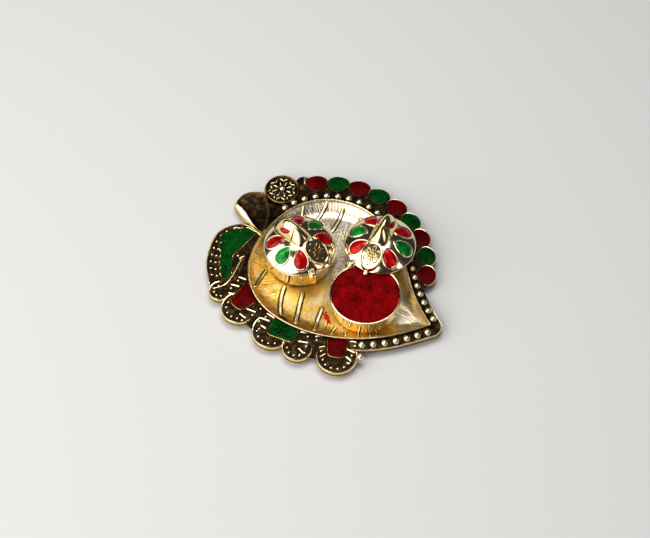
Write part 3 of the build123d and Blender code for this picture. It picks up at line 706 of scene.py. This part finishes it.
leaf_lines = [(bar_along(leaf_wall, 0.32, 0.55), 0.1), (bar_along(raised(stem, 4.6), 0.5, 0.6, 12), 0.1)]
tray_piece("leaf_line", leaf_lines, polished_gold)

# Fans of the border: five round lobes of the casting with a rolled edge outside. Three enamel cells sit in
# them, red, green and red, with short raised bars on both sides and dots along the edge.
fan_lobes = np.array([
    (-34.0, -37.0, 5.2), (-21.5, -38.0, 8.2), (-2.5, -37.5, 9.0), (11.3, -36.5, 6.9), (27.0, -28.5, 9.2),
])
lobe_columns = 120


def lobe_plates():
    """Round plates: rings of a circle with a rolled edge, whose height fades where the edge faces the
    dish."""
    skins = []
    angle = np.linspace(0, 2 * np.pi, lobe_columns, endpoint=False)
    for x, y, radius in fan_lobes:
        centre = np.array([x, y])
        outwards = (centre - dish_centre) / np.linalg.norm(centre - dish_centre)
        facing = np.cos(angle) * outwards[0] + np.sin(angle) * outwards[1]
        edge = soft_step(facing, -0.35, -0.1)
        outline = centre + radius * np.stack([np.cos(angle), np.sin(angle)], axis=1)
        rows = [
            (0, 0, 2.0), (0.6, 1, 2.0), (0.0, 1, 2.4), (0.25, 1, 2.9), (0.0, 1, 3.4), (0.0, 1, 4.3),
            (0.1, 1, 4.4 + 0.4 * edge), (0.35, 1, 4.45 + 0.65 * edge),
            (0.65, 1, 4.45 + 0.6 * edge), (0.85, 1, 4.45 + 0.3 * edge),
            (1.0, 1, 4.45), (0.0, 0.6, 4.5), (0.0, 0.3, 4.5), (0.0, 0.0, 4.5),
        ]
        shade = np.array([0.7, 0.6, 0.3, 0.95, 0.5, 0.2, 0.0, 0.0, 0.0, 0.5, 1.0, 1.0, 1.0, 1.0])[:, None]
        skins.append((lobed(outline, centre, rows), np.maximum(shade, (1 - edge)[None] * 0.9)))
    return skins


tray_piece("fan_lobes", lobe_plates(), dark_gold)

# Corners of each cell: two at the ridge, two outside, going round
fan_cells = np.array([
    ((-28.4, -25.2), (-17.6, -30.0), (-19.8, -39.0), (-26.6, -38.8)),
    ((-6.1, -31.7), (6.3, -29.5), (8.8, -36.2), (-3.6, -40.4)),
    ((18.1, -24.2), (25.9, -19.0), (30.4, -27.9), (24.2, -31.4)),
])
# Short bars beside the cells, each from its end at the cell to its outer end, and one on the leaf's plate
bar_ends = np.array([
    ((-28.7, -25.0), (-32.9, -26.3)), ((-28.5, -29.7), (-32.7, -31.4)), ((-27.6, -34.4), (-30.5, -35.4)),
    ((-17.4, -30.4), (-12.9, -30.5)), ((-18.9, -36.4), (-13.9, -35.0)), ((-19.5, -40.2), (-15.2, -40.3)),
    ((-5.6, -31.9), (-10.4, -32.3)), ((-6.0, -34.4), (-11.7, -36.2)), ((-4.9, -38.4), (-8.2, -38.6)),
    ((7.2, -30.1), (11.2, -27.4)), ((9.5, -34.2), (14.2, -31.6)), ((11.9, -36.6), (15.7, -37.1)),
    ((16.8, -24.9), (13.7, -27.5)), ((20.6, -28.2), (18.7, -30.5)), ((23.0, -30.9), (22.0, -34.2)),
    ((26.7, -19.6), (29.7, -17.8)), ((28.2, -23.3), (32.6, -22.4)), ((30.2, -26.4), (34.0, -26.7)),
    ((-38.3, -15.9), (-39.3, -19.0)),
])
bar_half, bar_rise = 0.52, 0.8
bar_dot_along, bar_dot_aside = 0.8, 1.8
lobe_dot_pitch, lobe_dot_inset = 4.0, 2.5


def cell_outline(corners, count=96):
    """Rounded cell: the straight outline through the corners, evenly stepped, then averaged over its
    neighbours."""
    ring = np.vstack([corners, corners[:1]])
    steps = np.concatenate(([0], np.cumsum(np.linalg.norm(np.diff(ring, axis=0), axis=1))))
    even = np.linspace(0, steps[-1], count, endpoint=False)
    line = np.stack([np.interp(even, steps, ring[:, i]) for i in (0, 1)], axis=1)
    return np.mean([np.roll(line, k, axis=0) for k in range(-5, 6)], axis=0)


cell_fill = [(0, 0, 4.3), (0.0, 1, 4.3), (0.0, 1, 4.8)]
cell_fill += [(0.0, s, 4.8 + 0.55 * (1 - s**3)) for s in (0.96, 0.88, 0.75, 0.55, 0.3, 0.0)]
cell_lines = np.array([cell_outline(corners) for corners in fan_cells])
cells = lobed(cell_lines, cell_lines.mean(axis=1, keepdims=True), cell_fill)
cast("fan_enamel_red_fill", [(cells[[0, 2]], 0)], ruby_foil,
     "base", ["fan_enamel_red"], 50)
cast("fan_enamel_green_fill", [(cells[[1]], 0)], emerald_foil,
     "base", ["fan_enamel_green"], 50)
cell_walls = raised(np.concatenate([cell_lines, cell_lines[:, :1]], axis=1), 4.55)
cell_bars = np.array([bar_along(wall, 0.24, 0.45) for wall in cell_walls])
tray_piece("fan_lines", [(cell_bars, 0.4)], polished_gold)

bar_runs = bar_ends[:, 1] - bar_ends[:, 0]
bar_lengths = np.linalg.norm(bar_runs, axis=1)
bar_sides = np.stack([-bar_runs[:, 1], bar_runs[:, 0]], axis=1) / bar_lengths[:, None]
bar_sides *= np.sign(np.sum(bar_sides * (bar_ends[:, 1] - dish_centre), axis=1))[:, None]
fan_dots = list(bar_ends[:, 0] + bar_dot_along * bar_runs + bar_dot_aside * bar_sides)
for x, y, radius in fan_lobes:
    centre = np.array([x, y])
    outwards = np.degrees(np.arctan2(*(centre - dish_centre)[::-1]))
    swing = np.degrees(lobe_dot_pitch / radius)
    turns = np.radians(outwards + swing * np.arange(-2, 3))
    fan_dots.extend(centre + (radius - lobe_dot_inset) * np.stack([np.cos(turns), np.sin(turns)], axis=1))
bar_lines = raised(bar_ends[:, :1] + bar_runs[:, None] * np.linspace(0, 1, 16)[None, :, None], 4.45)
bar_skins = np.array([bar_along(line, bar_half, bar_rise, 16) for line in bar_lines])
dot_studs = round_dots(np.array(fan_dots))
# Painted shade: the bars and dots darken towards their feet
fan_skins = [(skin, np.clip((4.55 - skin[..., 2]) / 0.15, 0, 1)) for skin in (bar_skins, dot_studs)]
tray_piece("fan_bars", fan_skins, polished_gold)

# Cups: two cups turned from brass and gold plated, which stand on the dish and are riveted through its
# floor. Each has a rolled rim and, on one side, a boss on a corbel that takes the lid's pivot pin. They are
# polished inside and out. Their foot and lower inside are painted dark as shade, and the boss is painted
# darker all over, as shade.
cup_places = {"left": (-19.25, 0.0, 0.0), "right": (19.25, 0.0, np.pi)}
cup_foot_radius = 14.5
pivot_distance, pivot_bearing = 16.5, np.radians(-27.8)
pivot = pivot_distance * np.array([np.cos(pivot_bearing), np.sin(pivot_bearing)])
boss_root, boss_foot, corbel_height = 14.6, 4.2, 4.0


def turned(profile, columns=128):
    """Surface of revolution: each (radius, height) of the profile carried round the upright axis."""
    angle = np.linspace(0, 2 * np.pi, columns, endpoint=False)
    radius, height = np.array(profile, float).T
    x, y = radius[:, None] * np.cos(angle), radius[:, None] * np.sin(angle)
    return np.stack([x, y, np.broadcast_to(height[:, None], x.shape)], axis=-1)


def placed(points, place, lift=0.0):
    """Points turned about the upright axis and moved to a place (x, y, turn), raised by lift."""
    x, y, turn = place
    cos, sin = np.cos(turn), np.sin(turn)
    along, across, up = np.moveaxis(points, -1, 0)
    return np.stack([along * cos - across * sin + x, along * sin + across * cos + y, up + lift], axis=-1)


roll = np.radians(np.linspace(-20, 200, 12))
roll_radius = 0.5
cup_profile = [
    (0, 1.8), (cup_foot_radius - 0.3, 1.8), (cup_foot_radius, 2.1), (14.75, 4.0), (15.15, 7.0), (15.5, 10.0),
]
cup_profile += [(15.5 + roll_radius * np.cos(a), 12.3 + roll_radius * np.sin(a)) for a in roll]
cup_profile += [(14.85, 11.4), (14.4, 8.0), (13.9, 5.0), (13.6, 3.8), (13.1, 3.25), (12.2, 3.0), (0, 3.0)]
# Painted shade: dark at the foot and low inside the cup, fading up the walls
cup_shade = np.array([0.5, 0.5, 0.35] + [0.0] * 15 + [0.05, 0.1, 0.2, 0.35, 0.4, 0.35, 0.3])[:, None]
boss_profile = [
    (0, 0), (0.6, 0), (1.0, 1.0), (1.5, 2.6), (1.8, 3.6), (1.85, 4.2), (1.85, 8.4), (1.7, 8.55), (0, 8.6),
]
boss = turned(boss_profile, 40)
lean = np.clip(1 - boss[..., 2:] / corbel_height, 0, 1) * (1 - boss_root / pivot_distance)
boss = np.concatenate([boss[..., :2] + pivot * (1 - lean), boss[..., 2:] + boss_foot], axis=-1)
for side, place in cup_places.items():
    skins = [(placed(turned(cup_profile), place), cup_shade), (placed(boss, place), 0.3)]
    cast(f"cup_{side}_shell", skins, polished_gold, "base", [f"cup_{side}"])

# Kumkum: fine red powder, filled loose into the right cup up to its rim. It is matte, with soft lumps and
# hollows.
powder_radius, powder_level = 14.75, 12.2
powder_columns = 220


def lumps(x, y):
    """Uneven heap: sums of sines at turned directions and rising frequencies, as noise without a table."""
    total = np.zeros_like(x)
    for k in range(1, 9):
        turn, pitch = 2.4 * k, 0.32 * 1.45**k
        along, across = x * np.cos(turn) + y * np.sin(turn), y * np.cos(turn) - x * np.sin(turn)
        total += np.sin(pitch * along + 1.7 * k) * np.cos(0.83 * pitch * across + k) / pitch
    return total


powder_part = np.linspace(1, 0, 60)[:, None]
powder_angle = np.linspace(0, 2 * np.pi, powder_columns, endpoint=False)[None]
powder_x = powder_radius * powder_part * np.cos(powder_angle)
powder_y = powder_radius * powder_part * np.sin(powder_angle)
powder_lumps = 0.12 * lumps(powder_x, powder_y) * soft_step(1 - powder_part, 0, 0.08)
powder_top = powder_level + 0.5 * (1 - powder_part**2) + powder_lumps
powder_grid = np.stack([powder_x, powder_y, powder_top], axis=-1)
powder_base = turned([(0, 4.2), (12.6, 4.2), (powder_radius - 0.05, powder_level - 0.6)], powder_columns)


def powder_finish(name, deep, bright):
    """Matte powder: two noises shade the red from dark grains to bright dust and roughen the surface."""
    finish, tree, shader = new_finish(name)
    on_piece = tree.nodes.new("ShaderNodeTexCoord").outputs["Object"]
    clouds = blended(tree, speckle(tree, on_piece, 150, 5), 0.6, 0.0)
    grains = blended(tree, speckle(tree, on_piece, 900, 6), 0.4, clouds)
    tree.links.new(toned(tree, grains, [(0.36, deep), (0.6, bright)]), shader.inputs["Base Color"])
    grained(tree, shader, grains, 0.8, 0.0003)
    shader.inputs["Roughness"].default_value = 0.95
    shader.inputs["Specular IOR Level"].default_value = 0.05
    return finish


kumkum_powder = powder_finish("kumkum_powder", (0.045, 0.0003, 0.0006), (0.28, 0.001, 0.002))
kumkum = placed(np.concatenate([powder_base, powder_grid]), cup_places["right"])
cast("kumkum_heap", [(kumkum, 0)], kumkum_powder, "base", ["kumkum"], 80)

# Spilt kumkum: a pinch of the same powder on the dish beside the cup, flat crumbs of several sizes, some of
# which have run together.
spill_places = np.array([
    (8.2, -13.8, 1.75), (9.3, -14.9, 1.8), (10.5, -15.3, 1.8), (9.9, -16.3, 1.85),
    (11.6, -16.2, 1.85), (12.9, -16.4, 1.9), (12.4, -17.5, 1.95), (7.6, -15.0, 1.8),
])
spill_long = np.array([0.9, 1.25, 1.1, 0.6, 1.2, 0.8, 0.5, 0.4])[:, None, None]
spill_wide = np.array([0.55, 0.9, 0.75, 0.45, 0.7, 0.5, 0.35, 0.3])[:, None, None]
spill_turns = np.radians([-60, -20, -75, 10, -35, -10, -50, 30])
spill = studs(spill_places, spill_turns, spill_long, spill_wide, 0.35, 9, 24)
thin_powder = powder_finish("thin_powder", (0.22, 0.003, 0.002), (0.60, 0.020, 0.010))
cast("kumkum_spill", [(spill, 0)], thin_powder, "base", ["kumkum"], 80)

# Lids: two domes stamped from brass sheet, gold plated and polished, each with a pivot ear and a finger tab.
# Each swings level on its pin. The left one is shut; the right one is swung aside, nearly as far as the two
# lids clear each other.
lid_height = 12.95
lid_opened = np.radians(106.5)
lid_radius, lid_wall, dome_rise, dome_top = 16.0, 1.2, 6.5, 7.5
dome_radius = (lid_radius**2 + dome_rise**2) / (2 * dome_rise)
dome_centre = dome_top - dome_radius


def swung(place, angle):
    """Place of a lid after it turns about its pin by an angle."""
    x, y, turn = place
    pin = placed(np.array([*pivot, 0]), place)[:2]
    arm = np.array([x, y]) - pin
    cos, sin = np.cos(angle), np.sin(angle)
    return (*(pin + np.array([arm[0] * cos - arm[1] * sin, arm[0] * sin + arm[1] * cos])), turn + angle)


lid_places = {"left": cup_places["left"], "right": swung(cup_places["right"], lid_opened)}


def dome_height(x, y, stand=0.0):
    """Height of the dome over a plan point: the cap of a ball."""
    return dome_centre + np.sqrt(np.clip((dome_radius + stand) ** 2 - x**2 - y**2, 0, None))


inner = np.linspace(0, 14.8, 14)
outer = np.linspace(15.9, 0, 40)
lid_profile = [(r, dome_height(r, 0, -lid_wall)) for r in inner]
lid_profile += [(14.85, 0.1), (15.1, 0.0), (15.85, 0.0), (16.0, 0.15), (16.05, 0.5), (16.0, 0.9)]
lid_profile += [(r, dome_height(r, 0)) for r in outer]
lid_shell = turned(lid_profile, 192)
near_pin = np.hypot(lid_shell[..., 0] - pivot[0], lid_shell[..., 1] - pivot[1]) < 1.9
lid_shell[..., 2] = np.where(near_pin, np.minimum(lid_shell[..., 2], 1.2), lid_shell[..., 2])
# Painted shade: the underside of the dome is dark, fading out over the rim
lid_shade = np.array([0.5] * 14 + [0.4, 0.3, 0.2, 0.0, 0.0, 0.05] + [0.0] * 40)[:, None]
ear_profile = [(0.8, 0), (1.7, 0), (1.85, 0.15), (1.85, 1.05), (1.7, 1.2), (0.8, 1.2), (0.8, 0)]
ear = turned(ear_profile, 40) + np.array([*pivot, 0])
tab = studs(np.array([(16.4, 0.0, 0.55)]), np.zeros(1), 1.3, 1.2, 0.5, 9, 20)
for side, place in lid_places.items():
    skins = [(lid_shell, lid_shade), (ear, 0.0), (tab, 0.0)]
    skins = [(placed(points, place, lid_height), dark) for points, dark in skins]
    cast(f"lid_{side}_dome", skins, polished_gold, f"{side}_lid", [f"lid_{side}"])

# Enamel drops of the lids: six teardrops on each dome, points inwards, four red and two green, each in a
# raised, polished wall that belongs to the dome. The enamel is clear, bright and domed, fired in place.
drop_middle, drop_length, drop_width = 10.7, 8.0, 6.3
drop_columns = 72


def teardrop(bearing):
    """Teardrop outline about its middle: along by the cosine, across by the sine times the half-angle cosine,
    which closes it to a point on the inner side; then turned to its bearing on the lid."""
    angle = np.linspace(0, 2 * np.pi, drop_columns, endpoint=False)
    along = drop_middle + drop_length / 2 * np.cos(angle)
    across = drop_width / 2 * 1.17 * np.sin(angle) * np.abs(np.cos(angle / 2)) ** 0.65
    turn = np.radians(bearing)
    cos, sin = np.cos(turn), np.sin(turn)
    outline = np.stack([along * cos - across * sin, along * sin + across * cos], axis=1)
    return outline, (drop_middle + 0.8) * np.array([cos, sin])


def on_dome(grid):
    """Skin whose heights stand over the dome."""
    height = grid[..., 2] + dome_height(grid[..., 0], grid[..., 1])
    return np.concatenate([grid[..., :2], height[..., None]], axis=-1)


wall_rows = [
    (0.25, 1, -0.6), (-0.65, 1, -0.5), (-0.6, 1, 0.05), (-0.48, 1, 0.32), (-0.28, 1, 0.48), (-0.08, 1, 0.5),
    (0.1, 1, 0.38), (0.2, 1, 0.1), (0.25, 1, -0.6),
]
drop_rows = [(0, 0, -0.5), (0.12, 1, -0.5), (0.12, 1, 0.08)]
drop_rows += [(0.12 * s, s, 0.08 + 0.55 * (1 - s**2.5)) for s in (0.95, 0.85, 0.7, 0.5, 0.25, 0.0)]


def clear_enamel(name, deep, bright):
    """Clear coloured enamel over bright metal: larger, soft cells shade the colour, under a wet coat."""
    finish = enamel_finish(name, deep, bright, cells=700)
    shader = finish.node_tree.nodes["Principled BSDF"]
    shader.inputs["Metallic"].default_value = 0.35
    shader.inputs["Specular IOR Level"].default_value = 0.1
    shader.inputs["Roughness"].default_value = 0.25
    shader.inputs["Coat Weight"].default_value = 0.25
    shader.inputs["Coat Roughness"].default_value = 0.05
    return finish


ruby_drop = clear_enamel("ruby_drop", (0.16, 0.001, 0.002), (0.72, 0.006, 0.005))
emerald_drop = clear_enamel("emerald_drop", (0.001, 0.07, 0.008), (0.006, 0.37, 0.035))
drop_kinds = {"red": ((45, 135, 225, 315), ruby_drop), "green": ((90, 270), emerald_drop)}
for side, place in lid_places.items():
    walls = []
    for colour, (bearings, finish) in drop_kinds.items():
        outlines = [teardrop(bearing) for bearing in bearings]
        fills = [placed(on_dome(lobed(o, m, drop_rows)), place, lid_height) for o, m in outlines]
        walls += [placed(on_dome(lobed(o, m, wall_rows)), place, lid_height) for o, m in outlines]
        cast(f"lid_{side}_{colour}_drops", [(np.array(fills), 0)], finish,
             f"{side}_lid", [f"lid_{side}_enamel_{colour}"], 50)
    cast(f"lid_{side}_drop_walls", [(np.array(walls), 0)], polished_gold,
         f"{side}_lid", [f"lid_{side}"])

# Birds: cast brass knobs in the form of a resting bird, gold plated, head down at the rim and with a round
# tail plate behind, each held by a stud peened below the dome. The tail carries a cut rosette; a red enamel
# lozenge marks each eye.
bird_x = np.array([-15.0, -14.2, -12.8, -11.0, -9.2, -7.4, -5.4, -2.6, 0.2, 2.4, 4.2, 5.5])
bird_crest = np.array([2.6, 4.2, 6.8, 9.8, 12.0, 13.2, 13.5, 13.2, 12.2, 10.8, 9.4, 8.2])
bird_half = np.array([0.4, 1.6, 2.8, 3.9, 4.5, 4.8, 4.9, 4.9, 4.8, 4.6, 4.2, 3.6])


def eased(x, knots, values):
    """Smooth curve through knots: straight interpolation averaged over a short window."""
    spread = np.linspace(-0.9, 0.9, 9)
    return np.mean([np.interp(x + s, knots, values) for s in spread], axis=0)


def bird_body(rows=110, columns=72):
    """Body of ovals along the lid, drawn in to a soft ridge at the crest: half width and crest follow the
    bird's outline, the foot of each oval lies in the dome. A groove crosses the neck behind each eye, painted
    dark as shade, and the rest of the body has a slight painted shade."""
    x = np.linspace(bird_x[0], bird_x[-1], rows)[:, None]
    angle = np.linspace(0, 2 * np.pi, columns, endpoint=False)[None]
    half, crest = eased(x, bird_x, bird_half), eased(x, bird_x, bird_crest)
    foot = dome_height(x, 0) - 1.0
    ends = np.sqrt(np.clip(1 - np.abs(np.linspace(-1, 1, rows)[:, None]) ** 16, 0, 1))
    up, out = np.cos(angle), np.sin(angle)
    y = half * out * (1 - 0.42 * np.clip(up, 0, 1) ** 1.5) * ends
    z = foot + (crest - foot) * up * ends
    z = np.maximum(z, foot - 0.3)
    off_groove = (x + 2.6 - 1.6 * np.abs(out)) / 0.32
    groove = np.exp(-(off_groove**2)) * soft_step(np.abs(out), 0.3, 0.5) * (up > 0)
    y = y * (1 - 0.06 * groove)
    return np.stack([np.broadcast_to(x, y.shape), y, z], axis=-1), 0.1 + 0.8 * groove


tail_x, tail_half_length, tail_half_width = 10.3, 5.8, 5.0


def tail_plate(rows=64, columns=240):
    """Oval plate over the dome: a raised rim, and grooves round a centre dot and six loops, where the
    distance to each loop's oval is near one. The grooves and the plate's underside are painted dark as shade."""
    part = np.linspace(1, 0, rows)[:, None]
    angle = np.linspace(0, 2 * np.pi, columns, endpoint=False)[None]
    px, py = part * np.cos(angle), part * np.sin(angle)
    groove = np.exp(-(((np.hypot(px, py) - 0.14) / 0.035) ** 2))
    for k in range(6):
        turn = k * np.pi / 3
        along, across = px * np.cos(turn) + py * np.sin(turn) - 0.48, py * np.cos(turn) - px * np.sin(turn)
        ring = np.hypot(along / 0.22, across / 0.14)
        groove = np.maximum(groove, np.exp(-(((ring - 1) / 0.17) ** 2)))
    height = 0.9 + 0.55 * part**2 + 0.25 * np.exp(-(((part - 0.92) / 0.05) ** 2)) - 0.07 * groove
    height = height * soft_step(1 - part, -0.02, 0.05)
    x, y = tail_x + tail_half_length * px, tail_half_width * py
    top = np.stack([x, y, dome_height(x, y) + height], axis=-1)
    lower = np.stack([x[:1], y[:1], dome_height(x[:1], y[:1]) - 0.3], axis=-1)
    under = np.broadcast_to([tail_x, 0.0, dome_height(tail_x, 0.0) - 0.6], lower.shape)
    dark = np.concatenate([np.full((2, columns), 0.5), np.clip(groove, 0, 1)])
    return np.concatenate([under, lower, top]), dark


eye_x, eye_z, eye_half_length, eye_half_width = -5.8, 10.1, 3.4, 1.2


def flank(x, z):
    """Half width of the bird's body at a place along it and a height."""
    foot, crest = dome_height(x, 0) - 1.0, eased(x, bird_x, bird_crest)
    up = np.clip((z - foot) / (crest - foot), 0, 0.99)
    return eased(x, bird_x, bird_half) * np.sqrt(1 - up**2) * (1 - 0.42 * up**1.5)


def eye_lozenge(side, swell, out, columns=48):
    """Lozenge on the flank: a pointed oval in side view, standing out from the body by a swelling height."""
    angle = np.linspace(0, 2 * np.pi, columns, endpoint=False)[None]
    part = np.array([0, 1, 1, 0.92, 0.8, 0.6, 0.35, 0.0])[:, None]
    stand = np.concatenate([[[-0.5], [-0.4], [0.05]], 0.05 + swell * (1 - part[3:] ** 2)])
    along = np.sign(np.cos(angle)) * np.abs(np.cos(angle)) ** 1.2 * (eye_half_length + out) * part
    up = np.sign(np.sin(angle)) * np.abs(np.sin(angle)) ** 1.5 * (eye_half_width + out) * part
    tilt = np.radians(20)
    x = eye_x + along * np.cos(tilt) - up * np.sin(tilt)
    z = eye_z + along * np.sin(tilt) + up * np.cos(tilt)
    return np.stack([x, side * (flank(x, z) + stand), z], axis=-1)


body, body_shade = bird_body()
tail, tail_shade = tail_plate()
stud = turned([(0, 4.9), (2.3, 4.9), (2.4, 5.2), (2.4, 5.9), (1.5, 6.1), (1.5, 8.5), (0, 8.5)], 40)
eye_rims = [eye_lozenge(side, 0.05, 0.45) for side in (1, -1)]
eyes = [eye_lozenge(side, 0.5, 0.0) for side in (1, -1)]
for side, place in lid_places.items():
    skins = [(body, body_shade), (tail, tail_shade), (stud, 0.4), (np.array(eye_rims), 0.0)]
    skins = [(placed(points, place, lid_height), dark) for points, dark in skins]
    cast(f"bird_{side}_figure", skins, polished_gold, f"{side}_lid", [f"bird_{side}"], 50)
    stones = placed(np.array(eyes), place, lid_height)
    cast(f"bird_{side}_eye_stones", [(stones, 0)], ruby_drop,
         f"{side}_lid", [f"bird_{side}_eyes"], 50)

# Fasteners: the headed pivot pins, which go through the lids' ears into the bosses, and the rivets under
# the cups. All are turned from brass wire and gold plated, and keep the form of the CAD parts.
plain_gold = gold_finish("plain_gold", 0.18, 300, 0.05)
for node in ("pivot_pin_left", "pivot_pin_right", "cup_rivet_left", "cup_rivet_right"):
    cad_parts[node].data.materials.clear()
    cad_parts[node].data.materials.append(plain_gold)

# Floor, light and camera: a plain pale floor of matte board under three soft studio lamps. The camera looks
# down at the box from the photograph's side.
floor_mesh = bpy.data.meshes.new("floor")
floor_mesh.from_pydata([(-3, -3, 0), (3, -3, 0), (3, 3, 0), (-3, 3, 0)], [], [(0, 1, 2, 3)])
floor = bpy.data.objects.new("floor", floor_mesh)
bpy.context.scene.collection.objects.link(floor)
floor_finish, _, floor_shader = new_finish("floor")
floor_shader.inputs["Base Color"].default_value = (0.72, 0.71, 0.69, 1)
floor_shader.inputs["Roughness"].default_value = 0.8
floor_mesh.materials.append(floor_finish)

world = bpy.data.worlds.new("studio")
bpy.context.scene.world = world
world.use_nodes = True
world.node_tree.nodes["Background"].inputs["Color"].default_value = (0.75, 0.78, 0.82, 1)
world.node_tree.nodes["Background"].inputs["Strength"].default_value = 0.04


def pointing(look):
    """Turn that points a lamp's or camera's own -Z along a direction, with its top upwards."""
    return Vector(look).to_track_quat("-Z", "Y").to_euler()


def softbox(name, place, size, power):
    """Rectangular area lamp at a place, pointing at the origin, in metres and watts."""
    lamp = bpy.data.lights.new(name, "AREA")
    lamp.shape = "RECTANGLE"
    lamp.size, lamp.size_y = size
    lamp.energy = power
    thing = bpy.data.objects.new(name, lamp)
    bpy.context.scene.collection.objects.link(thing)
    thing.location = place
    thing.rotation_euler = pointing(-np.array(place))


softbox("key", (-0.22, -0.61, 0.47), (1.30, 0.95), 9.7)
softbox("top", (-0.12, 0.16, 0.80), (0.56, 0.36), 3.5)
softbox("side", (0.60, 0.10, 0.40), (0.12, 0.30), 0.3)

camera_place = np.array([223.536, -264.744, 526.852]) * MM
camera_aim = np.array([-2.546, -1.899, 12.849]) * MM
camera = bpy.data.objects.new("camera", bpy.data.cameras.new("camera"))
camera.data.sensor_fit = "HORIZONTAL"
camera.data.sensor_width = 36
camera.data.lens = 77.5
camera.data.clip_start = 0.01
camera.location = camera_place
camera.rotation_euler = pointing(camera_aim - camera_place)
bpy.context.scene.collection.objects.link(camera)
bpy.context.scene.camera = camera
bpy.context.scene.view_settings.view_transform = "Standard"
